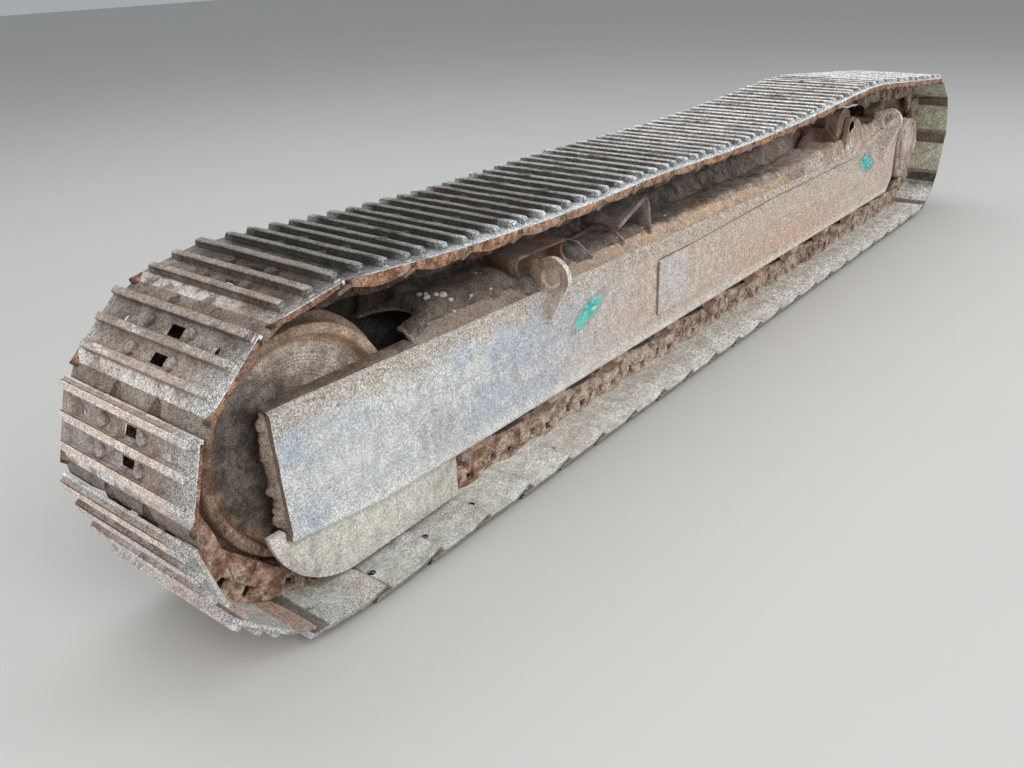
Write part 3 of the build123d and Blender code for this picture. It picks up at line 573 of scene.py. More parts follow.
def shoe_metal():
    """Track shoes. place holds along, across and away from the pin line, key differs from shoe to shoe."""
    m = Nodes("shoe_steel_dust_and_shading")
    v = m.place()
    a, y, w = m.split(v)
    key = m.key()
    pos = m.geo.outputs["Position"]
    big, mid = m.noise(4.2, 4, 0.6), m.noise(24, 6, 0.7)
    mult, raw = specks(m, 0.52, 1.48)
    x, z = m.xyz.outputs[0], m.xyz.outputs[2]
    up = m.nrm.outputs[2]
    on_top = m.ramp(z, 0.60, 0.68)
    far = m.math("MULTIPLY", on_top, m.ramp(x, X(500) * 0.001, X(2300) * 0.001))
    front = m.math("SUBTRACT", 1.0, m.ramp(x, X(-150) * 0.001, X(40) * 0.001))
    floor_run = m.mul(m.ramp(z, 0.16, 0.10), m.ramp(up, 0.3, 0.7))
    ay = m.math("ABSOLUTE", y)
    # bare and rusty metal below the dust
    steel = m.mix(m.ramp(mid, 0.36, 0.62), (0.075, 0.060, 0.050), (0.17, 0.135, 0.110))
    steel = m.mix(m.ramp(m.math("ADD", m.mul(big, 0.6), m.mul(key, 0.14)), 0.36, 0.44, 0.0, 0.7), steel, m.mix(mid, (0.15, 0.085, 0.055), (0.28, 0.16, 0.10)))
    # dust by region
    front_dust = m.mix(m.ramp(mid, 0.36, 0.6), (0.55, 0.545, 0.535), (0.92, 0.945, 0.955))
    front_dust = m.mix(m.ramp(m.math("ADD", big, m.mul(key, 0.15)), 0.57, 0.70, 0.0, 0.6), front_dust, (0.54, 0.37, 0.28))
    front_dust = m.mix(m.ramp(z, 0.42, 0.66, 0.0, 0.8), front_dust, m.mix(m.ramp(mid, 0.36, 0.6), (0.50, 0.435, 0.38), (0.80, 0.73, 0.665)))
    rusty_top = m.ramp(x, X(60) * 0.001, X(-160) * 0.001)
    # near the idler the top run is painted near black: partly oily dirt, partly painted shade
    near_dirt_and_shade = m.mix(rusty_top, m.mix(m.ramp(mid, 0.38, 0.62), (0.022, 0.022, 0.019), (0.085, 0.081, 0.070)), m.mix(m.ramp(mid, 0.38, 0.6), (0.058, 0.043, 0.033), (0.20, 0.16, 0.13)))
    top_dust = m.mix(far, near_dirt_and_shade, m.mix(m.ramp(mid, 0.38, 0.6), (0.21, 0.185, 0.17), (0.48, 0.45, 0.43)))
    floor_dust = m.mix(m.ramp(mid, 0.35, 0.62), (0.66, 0.65, 0.59), (0.86, 0.86, 0.82))
    floor_dust = m.mix(m.ramp(big, 0.57, 0.68, 0.0, 0.5), floor_dust, (0.60, 0.46, 0.37))
    dust = m.mix(m.mul(front, m.ramp(m.math("ADD", z, m.math("MULTIPLY", m.math("SUBTRACT", big, 0.5), 0.25)), 0.88, 0.70)), top_dust, front_dust)
    floor_dust = tint(m, floor_dust, m.ramp(x, X(150) * 0.001, X(700) * 0.001, 0.74, 1.0))
    dust = m.mix(floor_run, dust, floor_dust)
    beside = m.mul(floor_run, m.ramp(m.math("ADD", ay, m.math("MULTIPLY", m.math("SUBTRACT", mid, 0.5), 0.09)), 0.205, 0.135), m.ramp(x, X(600) * 0.001, X(1300) * 0.001))
    dust = m.mix(m.mul(beside, 0.6), dust, m.mix(mid, (0.40, 0.34, 0.28), (0.62, 0.575, 0.51)))
    cover = m.ramp(m.math("ADD", m.mul(mid, 0.5), m.math("ADD", m.mul(big, 0.3), m.mul(up, 0.06))), 0.36, 0.46, 0.35, 0.95)
    cover = m.math("MAXIMUM", cover, m.mul(floor_run, 0.96))
    cover = m.math("MAXIMUM", cover, m.mul(front, m.ramp(z, 0.86, 0.68), m.ramp(mid, 0.36, 0.47, 0.60, 0.97)))
    colour = m.mix(cover, steel, dust)
    # grouser tops: worn, and painted lighter as highlight; grouser sides painted dark as shade over rust
    tops = m.mul(m.ramp(w, 0.0795, 0.0822), m.ramp(m.noise(30, 5, 0.7, m.stretch(pos, (1, 0.25, 1))), 0.36, 0.50))
    bright = m.mix(far, m.mix(rusty_top, (0.22, 0.205, 0.185), (0.33, 0.265, 0.215)), (0.86, 0.84, 0.82))
    bright = m.mix(m.mul(front, m.ramp(z, 0.75, 0.6)), bright, (0.74, 0.61, 0.53))
    low_front = m.mul(front, m.ramp(z, 0.78, 0.66))
    ribs = m.mul(m.ramp(w, 0.0615, 0.0635), m.ramp(m.math("ABSOLUTE", m.math("SUBTRACT", w, 0.0715)), 0.0100, 0.0085))
    rib_side_shade = m.mix(low_front, m.mix(rusty_top, (0.030, 0.029, 0.025), (0.085, 0.056, 0.040)), (0.20, 0.115, 0.075))
    bolt = m.ramp(w, 0.0765, 0.0775)
    colour = m.mix(m.mul(ribs, m.math("MAXIMUM", bolt, 0.62), m.math("SUBTRACT", 1.0, far), m.ramp(z, 0.20, 0.34)), colour, rib_side_shade)
    colour = m.mix(m.mul(tops, 0.94), colour, bright)
    tail = m.mul(low_front, m.ramp(m.math("ADD", m.math("MULTIPLY", y, -1.0), m.math("MULTIPLY", m.math("SUBTRACT", mid, 0.5), 0.16)), 0.125, 0.225))
    colour = m.mix(m.mul(tail, 0.68), colour, m.mix(m.ramp(raw, 0.4, 0.6), (0.33, 0.335, 0.33), (0.57, 0.595, 0.60)))
    # white dust thrown on the ends of the plates, and rusty plate edges
    ends = m.mul(m.ramp(m.math("ADD", ay, m.math("MULTIPLY", m.math("SUBTRACT", mid, 0.5), 0.09)), 0.180, 0.245), on_top, m.ramp(up, 0.0, 0.5, 0.45, 1.0), m.ramp(x, X(-60) * 0.001, X(700) * 0.001, 0.25, 1.0))
    colour = m.mix(m.mul(ends, 0.86), colour, m.mix(m.ramp(raw, 0.4, 0.6), (0.44, 0.47, 0.49), (0.84, 0.88, 0.90)))
    # painted shade: grouser flanks on the far top run darkened between the bright tops
    flank_shade = m.mul(m.ramp(w, 0.066, 0.070), m.ramp(w, 0.0815, 0.079), far, m.ramp(ay, 0.235, 0.215))
    colour = m.mix(m.mul(flank_shade, 0.55), colour, (0.13, 0.115, 0.105))
    side = m.ramp(m.math("ABSOLUTE", m.nrm.outputs[1]), 0.6, 0.85)
    edge = m.mul(side, m.ramp(ay, 0.222, 0.240), m.ramp(w, 0.0605, 0.0585), m.ramp(z, 0.48, 0.60), m.ramp(a, 0.004, 0.012))
    colour = m.mix(m.mul(edge, 0.95), colour, m.mix(mid, (0.30, 0.14, 0.07), (0.60, 0.36, 0.22)))
    outer = m.ramp(ay, 0.222, 0.240)
    white = m.mul(side, outer, m.ramp(z, 0.50, 0.66), m.math("MAXIMUM", m.ramp(w, 0.0595, 0.0615), m.ramp(a, 0.012, 0.004)), m.ramp(w, 0.068, 0.066))
    colour = m.mix(m.mul(white, 0.9), colour, (0.74, 0.73, 0.70))
    pale = m.mul(side, outer, m.ramp(w, 0.070, 0.0655), m.ramp(z, 0.20, 0.30), m.ramp(z, 0.60, 0.45))
    colour = m.mix(m.mul(pale, 0.8), colour, m.mix(mid, (0.40, 0.30, 0.24), (0.70, 0.64, 0.58)))
    lips = m.mul(m.ramp(a, 0.150, 0.165), front, m.ramp(z, 0.50, 0.35))
    colour = m.mix(m.mul(lips, 0.7), colour, m.mix(mid, (0.28, 0.14, 0.08), (0.56, 0.36, 0.24)))
    low_edge = m.mul(side, m.ramp(z, 0.12, 0.08))
    colour = m.mix(m.mul(low_edge, 0.8), colour, m.mix(mid, (0.16, 0.14, 0.12), (0.45, 0.42, 0.38)))
    inside = m.mul(m.ramp(w, 0.0555, 0.0545), m.ramp(z, 0.25, 0.40))
    colour = m.mix(m.mul(inside, 0.8), colour, m.mix(mid, (0.11, 0.075, 0.052), (0.26, 0.20, 0.15)))
    rear = m.mul(m.ramp(m.math("ADD", w, m.math("MULTIPLY", m.ramp(a, 0.142, 0.216), 0.024)), 0.0565, 0.0552), m.ramp(x, X(4180) * 0.001, X(4250) * 0.001), m.ramp(z, 0.13, 0.17))
    khaki = m.mix(m.ramp(mid, 0.38, 0.6), (0.44, 0.44, 0.345), (0.62, 0.62, 0.51))
    khaki = m.mix(m.ramp(a, 0.204, 0.211), khaki, (0.66, 0.48, 0.22))
    # dark line just beyond each lip: the joint, with the lip's cast shadow painted in
    khaki = m.mix(m.mul(m.ramp(a, 0.034, 0.027), 0.7), khaki, (0.16, 0.13, 0.09))
    colour = m.mix(m.mul(rear, 0.92), colour, khaki)
    teeth = m.mul(side, m.ramp(w, 0.0655, 0.0675), m.ramp(z, 0.06, 0.04))
    colour = m.mix(m.mul(teeth, 0.85), colour, m.mix(mid, (0.48, 0.46, 0.42), (0.74, 0.72, 0.68)))
    # painted shade under the floor run, on downward faces near the ground
    below_run_shade = m.mul(m.ramp(up, -0.3, -0.7), m.ramp(z, 0.05, 0.035))
    colour = m.mix(m.mul(below_run_shade, 0.85), colour, (0.055, 0.046, 0.038))
    # dark line just beyond each lip on the floor run: the shoe joint, with the lip's cast shadow painted in
    joint = m.mul(m.ramp(a, 0.047, 0.035), m.ramp(w, 0.0555, 0.0545), m.ramp(z, 0.10, 0.07))
    colour = m.mix(m.mul(joint, 0.85), colour, (0.12, 0.10, 0.085))
    lip_edge = m.mul(m.ramp(a, 0.206, 0.212), m.ramp(z, 0.12, 0.08))
    colour = m.mix(m.mul(lip_edge, 0.6), colour, m.mix(mid, (0.30, 0.22, 0.17), (0.70, 0.64, 0.58)))
    colour = tint(m, colour, mult)
    height = m.math("ADD", m.mul(raw, 0.8), m.mul(mid, 0.8))
    metal = m.mul(tops, 0.25)
    return m.finish(colour, m.ramp(raw, 0.35, 0.6, 0.92, 0.68), m.bump(height, 0.6, 0.004), spec=0.25)


def chain_metal():
    m = Nodes("chain_rust_dust_and_shade")
    v = m.place()
    a, y, w = m.split(v)
    key = m.key()
    big, mid = m.noise(5, 4, 0.6), m.noise(30, 6, 0.7)
    mult, raw = specks(m, 0.58, 1.42)
    rust = m.mix(m.ramp(mid, 0.38, 0.6), (0.15, 0.075, 0.045), (0.38, 0.22, 0.14))
    dust = m.mix(m.ramp(mid, 0.35, 0.62), (0.48, 0.34, 0.26), (0.76, 0.64, 0.52))
    cover = m.ramp(m.math("ADD", m.mul(mid, 0.55), m.math("ADD", m.mul(big, 0.3), m.math("ADD", m.mul(m.nrm.outputs[2], 0.05), m.mul(key, 0.06)))), 0.37, 0.52, 0.2, 0.95)
    colour = m.mix(cover, rust, dust)
    colour = tint(m, colour, m.ramp(m.xyz.outputs[0], X(500) * 0.001, X(2600) * 0.001, 0.94, 0.80))
    red = m.mul(m.ramp(m.noise(13, 4, 0.65, m.stretch(v, (1, 1, 1), (7, 3, 1))), 0.47, 0.58), m.ramp(m.xyz.outputs[0], X(900) * 0.001, X(500) * 0.001))
    colour = m.mix(m.mul(red, 0.7), colour, m.mix(m.ramp(mid, 0.4, 0.6), (0.17, 0.065, 0.040), (0.46, 0.25, 0.16)))
    rail = m.ramp(w, -0.0425, -0.0436)
    colour = m.mix(m.mul(rail, 0.7), colour, (0.22, 0.17, 0.14))
    seams = m.mul(m.ramp(m.voronoi(19, m.stretch(v, (1, 1, 1), (0.3, 0.2, 0.1)), "DISTANCE_TO_EDGE"), 0.045, 0.0), m.ramp(m.noise(15, 3), 0.48, 0.56))
    colour = m.mix(m.mul(seams, 0.75), colour, (0.055, 0.035, 0.026))
    colour = tint(m, colour, mult)
    # painted shade: links on the top run, short of the sprocket, darkened as if in shadow
    above = m.mul(m.ramp(m.xyz.outputs[2], 0.50, 0.64), m.ramp(m.xyz.outputs[0], X(3650) * 0.001, X(3350) * 0.001))
    colour = tint(m, colour, m.math("SUBTRACT", 1.0, m.mul(above, 0.72)))
    height = m.math("ADD", m.mul(raw, 0.8), m.mul(mid, 0.9))
    return m.finish(colour, m.ramp(raw, 0.35, 0.6, 0.92, 0.65), m.bump(height, 0.7, 0.005), spec=0.25)


def lug_metal():
    """Ear plates: rusty brown faces with dirt, pale along the outer edge, partly wear and partly painted highlight."""
    m = Nodes("ear_plate")
    big, mid = m.noise(5, 4, 0.6), m.noise(24, 6, 0.7)
    mult, raw = specks(m, 0.55, 1.5)
    face = m.mix(m.ramp(mid, 0.36, 0.62), (0.22, 0.15, 0.115), (0.46, 0.33, 0.26))
    face = m.mix(m.ramp(big, 0.5, 0.62, 0.0, 0.7), face, (0.52, 0.36, 0.25))
    foot = m.ramp(m.math("ADD", m.xyz.outputs[2], m.math("MULTIPLY", m.math("SUBTRACT", mid, 0.5), 0.08)), 0.590, 0.520)
    face = m.mix(m.mul(foot, 0.85), face, m.mix(m.ramp(mid, 0.36, 0.6), (0.44, 0.38, 0.32), (0.62, 0.55, 0.48)))
    face = m.mix(m.mul(m.ramp(m.xyz.outputs[0], X(3000) * 0.001, X(3400) * 0.001), 0.75), face, (0.58, 0.50, 0.44))
    # pale outer edge faces: partly wear, partly painted highlight
    flat = m.ramp(m.math("ABSOLUTE", m.nrm.outputs[0]), 0.9, 0.6)
    rim = m.mul(flat, m.ramp(m.xyz.outputs[1], -0.150, -0.172))
    colour = m.mix(m.mul(rim, m.ramp(mid, 0.36, 0.5, 0.6, 1.0)), face, m.mix(m.ramp(raw, 0.4, 0.6), (0.60, 0.56, 0.52), (0.86, 0.84, 0.80)))
    colour = tint(m, colour, mult)
    return m.finish(colour, m.ramp(raw, 0.35, 0.6, 0.9, 0.65), m.bump(m.math("ADD", m.mul(raw, 0.8), m.mul(mid, 0.7)), 0.5, 0.004), spec=0.3)


def ring_vector(self, r, scale):
    n = self.tree.nodes.new("ShaderNodeCombineXYZ")
    self.link(self.math("MULTIPLY", r, scale), n.inputs[0])
    return n.outputs[0]


Nodes.math_vector = ring_vector

def band_crust():
    """Crust below the ends of the shoes: red brown on the top run, darker round the idler, black at the joints."""
    m = Nodes("end_crust")
    v = m.place()
    a, y, w = m.split(v)
    big, mid = m.noise(9, 4, 0.6), m.noise(46, 6, 0.75)
    mult, raw = specks(m, 0.50, 1.55)
    colour = m.mix(m.ramp(mid, 0.38, 0.6), (0.17, 0.080, 0.048), (0.51, 0.300, 0.198))
    colour = m.mix(m.ramp(big, 0.50, 0.62, 0.0, 0.75), colour, m.mix(mid, (0.30, 0.20, 0.14), (0.56, 0.43, 0.34)))
    wrap = m.ramp(m.xyz.outputs[0], X(140) * 0.001, X(-40) * 0.001)
    colour = m.mix(m.mul(wrap, 0.85), colour, m.mix(m.ramp(mid, 0.4, 0.6), (0.16, 0.085, 0.056), (0.40, 0.245, 0.17)))
    gap = m.math("MAXIMUM", m.ramp(a, 0.014, 0.004), m.ramp(a, 0.174, 0.184))
    colour = m.mix(m.mul(gap, 0.8), colour, (0.045, 0.030, 0.023))
    low = m.ramp(w, 0.046, 0.034)
    colour = m.mix(m.mul(low, 0.22), colour, (0.10, 0.060, 0.042))
    colour = tint(m, colour, mult)
    return m.finish(colour, 0.92, m.bump(m.math("ADD", m.mul(raw, 0.8), m.mul(mid, 0.9)), 0.8, 0.005), spec=0.2)


def mound_dirt_and_shade():
    """Loose dirt on the roof: dark and greenish below the top run, pale and dusty at the rear, and painted near black
    on the inner half as the shade under the top run.
    """
    m = Nodes("mound_dirt_and_shade")
    big, mid = m.noise(6, 4, 0.6), m.noise(26, 7, 0.72)
    mult, raw = specks(m, 0.50, 1.50)
    dark = m.mix(m.ramp(mid, 0.38, 0.60), (0.105, 0.088, 0.072), (0.27, 0.235, 0.205))
    dark = m.mix(m.ramp(big, 0.50, 0.64, 0.0, 0.6), dark, (0.23, 0.165, 0.125))
    dark = tint(m, dark, m.ramp(m.xyz.outputs[0], X(1400) * 0.001, X(2000) * 0.001, 1.0, 1.45))
    pale = m.mix(m.ramp(mid, 0.38, 0.60), (0.42, 0.33, 0.275), (0.66, 0.57, 0.50))
    pale = m.mix(m.ramp(big, 0.50, 0.62, 0.0, 0.7), pale, (0.40, 0.26, 0.20))
    rear = m.ramp(m.math("ADD", m.xyz.outputs[0], m.math("MULTIPLY", m.math("SUBTRACT", big, 0.5), 0.8)), X(2350) * 0.001, X(2900) * 0.001)
    colour = m.mix(m.math("MAXIMUM", rear, m.mul(m.ramp(m.xyz.outputs[0], X(1200) * 0.001, X(1700) * 0.001), m.ramp(m.xyz.outputs[1], -0.070, -0.105), 0.8)), dark, pale)
    # painted shade: the inner half of the dirt darkened near black, standing for the shade below the top run
    colour = m.mix(m.mul(m.ramp(m.xyz.outputs[1], 0.030, 0.090, 0.0, 0.75), m.ramp(m.xyz.outputs[0], X(1500) * 0.001, X(2100) * 0.001, 1.0, 0.45)), colour, m.mix(mid, (0.050, 0.042, 0.034), (0.115, 0.095, 0.078)))
    grit = m.mul(m.ramp(m.voronoi(125), 0.28, 0.14), m.ramp(m.noise(12, 3), 0.52, 0.60))
    colour = m.mix(m.mul(grit, 0.7), colour, (0.60, 0.57, 0.52))
    colour = tint(m, colour, mult)
    height = m.math("ADD", m.mul(raw, 0.8), m.math("ADD", m.mul(mid, 1.0), m.mul(grit, 0.6)))
    return m.finish(colour, 0.94, m.bump(height, 0.9, 0.006), spec=0.15)


mats = {
    "chain_steel": chain_metal(),
    "idler_steel": idler_metal(),
    "shoe_steel": shoe_metal(),
    "side": side_paint_and_highlights(),
    "roof": roof_dirt(),
    "guard": dusty("guard_dust", (0.56, 0.535, 0.48), (0.47, 0.33, 0.23), (0.73, 0.70, 0.635), 0.10, 0.88, 0.1, 0.64, 1.34, 3.0, 0.4),
    "band": band_crust(),
    "plug": dusty("packed_dirt", (0.36, 0.33, 0.27), (0.40, 0.30, 0.22), (0.58, 0.57, 0.50), 0.2, 0.6, 0.2, 0.55, 1.4, 12.0, 0.9),
    "mound": mound_dirt_and_shade(),
    "stone": dusty("stone_dust", (0.60, 0.58, 0.55), (0.56, 0.50, 0.44), (0.80, 0.79, 0.76), 0.2, 0.5, 0.3, 0.7, 1.25, 14.0, 0.6),
    "bracket": dusty("bracket_rust", (0.20, 0.14, 0.105), (0.24, 0.12, 0.075), (0.36, 0.29, 0.25), 0.5, 0.40, 0.45, 0.55, 1.5, 15.0, 0.7),
    "skid_rear": dusty("skid_rear_rust", (0.175, 0.105, 0.085), (0.22, 0.115, 0.080), (0.34, 0.25, 0.215), 0.4, 0.40, 0.30, 0.5, 1.5, 21.0, 0.7),
    "seam": dusty("seam_rust", (0.27, 0.185, 0.135), (0.24, 0.13, 0.080), (0.42, 0.34, 0.27), 0.5, 0.35, 0.0, 0.5, 1.5, 22.0, 0.6),
    "front_plug": dusty("front_packed_dirt", (0.12, 0.09, 0.072), (0.15, 0.085, 0.058), (0.25, 0.20, 0.165), 0.3, 0.35, 0.1, 0.5, 1.6, 23.0, 0.9),
    "skid": dusty("skid_rust", (0.20, 0.155, 0.145), (0.26, 0.15, 0.105), (0.44, 0.37, 0.35), 0.35, 0.50, 0.45, 0.55, 1.5, 16.0, 0.7),
    "drum": dusty("drum_dust", (0.40, 0.31, 0.27), (0.34, 0.19, 0.13), (0.62, 0.54, 0.48), 0.3, 0.6, 0.3, 0.55, 1.45, 17.0, 0.6),
    "fork_mud": dusty("fork_mud_crust", (0.34, 0.265, 0.215), (0.30, 0.175, 0.11), (0.58, 0.50, 0.43), 0.30, 0.50, 0.35, 0.5, 1.55, 18.0, 0.9),
    "cradle": dusty("cradle_dust", (0.27, 0.20, 0.16), (0.27, 0.145, 0.095), (0.46, 0.39, 0.34), 0.4, 0.45, 0.4, 0.55, 1.5, 19.0, 0.7),
    "lug": lug_metal(),
    "rusty_steel": dusty("rust_dust", (0.24, 0.17, 0.13), (0.30, 0.16, 0.10), (0.50, 0.43, 0.37), 0.5, 0.35, 0.35, 0.58, 1.42, 1.0),
    "mount_steel": dusty("mount_dust", (0.40, 0.29, 0.21), (0.42, 0.22, 0.12), (0.62, 0.53, 0.43), 0.4, 0.55, 0.3, 0.6, 1.38, 2.0),
    "bare_steel": dusty("bare_dust", (0.30, 0.27, 0.25), (0.26, 0.15, 0.10), (0.48, 0.42, 0.36), 0.3, 0.3, 0.3, 0.6, 1.35, 6.0),
    "frame_paint": dusty("paint_dust", (0.46, 0.46, 0.47), (0.34, 0.19, 0.12), (0.58, 0.52, 0.46), 0.3, 0.5, 0.4, 0.62, 1.32, 4.0),
    "lip": dusty("lip_dirt", (0.17, 0.13, 0.105), (0.20, 0.12, 0.08), (0.30, 0.24, 0.20), 0.3, 0.45, 0.1, 0.5, 1.6, 7.0, 0.8),
    "chain_node": dusty("roller_dust", (0.26, 0.19, 0.14), (0.30, 0.16, 0.10), (0.50, 0.42, 0.35), 0.5, 0.4, 0.35, 0.58, 1.42, 8.0),
}
slots = {row["node"]: row["material_slot"] for row in frame["record"]["subparts"]}
looks = {"frame_roof": "roof", "fork_lips": "lip", "guide_bars": "lip", "chain_guard_outer": "guard", "chain_guard_inner": "guard",
         "tie_lug_front": "lug", "tie_lug_rear": "lug", "access_cover": "side", "spring_cover": "bracket", "skid_front": "skid", "skid_rear": "skid_rear",
         "final_drive": "drum", "carrier_bracket": "cradle", "frame_side_inner": "side", "frame_side_outer": "side",
         "track_rollers": "chain_node", "carrier_roller": "chain_node", "sprocket": "chain_node", "roller_mounts": "mount_steel"}
for name, obj in frame["nodes"].items():
    obj.data.materials.clear()
    obj.data.materials.append(mats[looks.get(name, slots[name])])

# ------------------------------------------------------------------ shoes
lip_end = 216.0


def lip_w(a):
    """Inner face of a shoe plate, away from the pin line: flat, then a lip that tucks under the next shoe."""
    s = max(0.0, (a - 142.0) / (lip_end - 142.0))
    return pin_above_shoe - 22.0 * s**1.25


def shoe_plate():
    us = [-8, 28, 41, 48, 56, 63, 95, 121, 142, 156, 168, 180, 192, 204, lip_end]
    out = [248.3, 226, 172, 165, 157, 150, 94, 89, 83, 77, 72, 67, 61, 55, 50]
    vs = [-p for p in out] + [-42, 14] + out[::-1]

    def keep(i, j):
        a, y = (us[i] + us[i + 1]) / 2, (vs[j] + vs[j + 1]) / 2
        if (28 < a < 56 or 95 < a < 121) and -42 < y < 14:
            return False
        return not (41 < a < 63 and 150 < abs(y) < 172)

    def trim(i, j):
        a, y = (us[i] + us[i + 1]) / 2, (vs[j] + vs[j + 1]) / 2
        if 41 < a < 63 and 150 < abs(y) < 172 and (a < 48 or a > 56) and (abs(y) < 157 or abs(y) > 165):
            first = a < 52
            low = y < (161 if y > 0 else -161)
            return {(True, True): 2, (True, False): 1, (False, True): 3, (False, False): 0}[(first, low)]
        return None

    def along(a, y):
        if a > 156:
            inner = abs(abs(y) - 72)
            cut = 38.0 * math.sqrt(max(0.0, 1 - (inner / 22.5) ** 2)) if inner < 22.5 else 0.0
            a = 156 + (a - 156) * (60 - cut) / 60
        return a

    def bottom(a, y):
        b = along(a, y)
        return (b, y, lip_w(b))

    def top(a, y):
        b = along(a, y)
        s = max(0.0, (b - 142.0) / 74.0)
        return (b, y, lip_w(b) + plate_thick - 1.2 * s)

    return soften(*cells(us, vs, keep, bottom, top, trim), 1.0)


def shoe_ribs():
    parts = []
    for middle, end in ((4.0, 232.0), (71.0, 230.0), (137.0, 223.0)):
        section = [(-11.4, 62.0), (-9.2, 80.6), (-7.2, 83.2), (7.2, 83.4), (9.2, 80.6), (11.4, 62.0)]
        loops = []
        for y, high, thin in ((-end - 8, 0.10, 0.75), (-end - 6, 0.55, 0.85), (-end - 1, 0.97, 0.97), (-end + 9, 1.0, 1.0), (-140, 0.985, 1.0), (-50, 1.0, 1.0),
                              (50, 1.0, 1.0), (140, 0.985, 1.0), (end - 9, 1.0, 1.0), (end + 1, 0.97, 0.97), (end + 6, 0.55, 0.85), (end + 8, 0.10, 0.75)):
            loops.append([(middle + da * thin, y, 62.0 + (w - 62.0) * high) for da, w in section])
        parts.append(rings(loops))
    return parts


def shoe_bolts():
    parts = []
    for a, y in ((40.0, -72.0), (108.0, -69.0), (40.0, 72.0), (108.0, 75.0)):
        loops = []
        for r, w in ((15.5, 63.5), (15.5, 73.0), (13.0, 75.5), (6.0, 76.2)):
            loops.append([(a + r * math.cos(math.radians(60 * k + 12 + a)), y + r * math.sin(math.radians(60 * k + 12 + a)), w) for k in range(6)])
        parts.append(rings(loops))
    return parts


def lay(points, frame_row, lift=0.0):
    """Local (along, across, away) to the model's place, for one link."""
    x, z, ax, az, ox, oz = frame_row
    reach = 2459.4
    return [(max(-reach, min(reach, x + ax * a + ox * (w + lift))), y, max(0.4, z + az * a + oz * (w + lift))) for a, y, w in points]


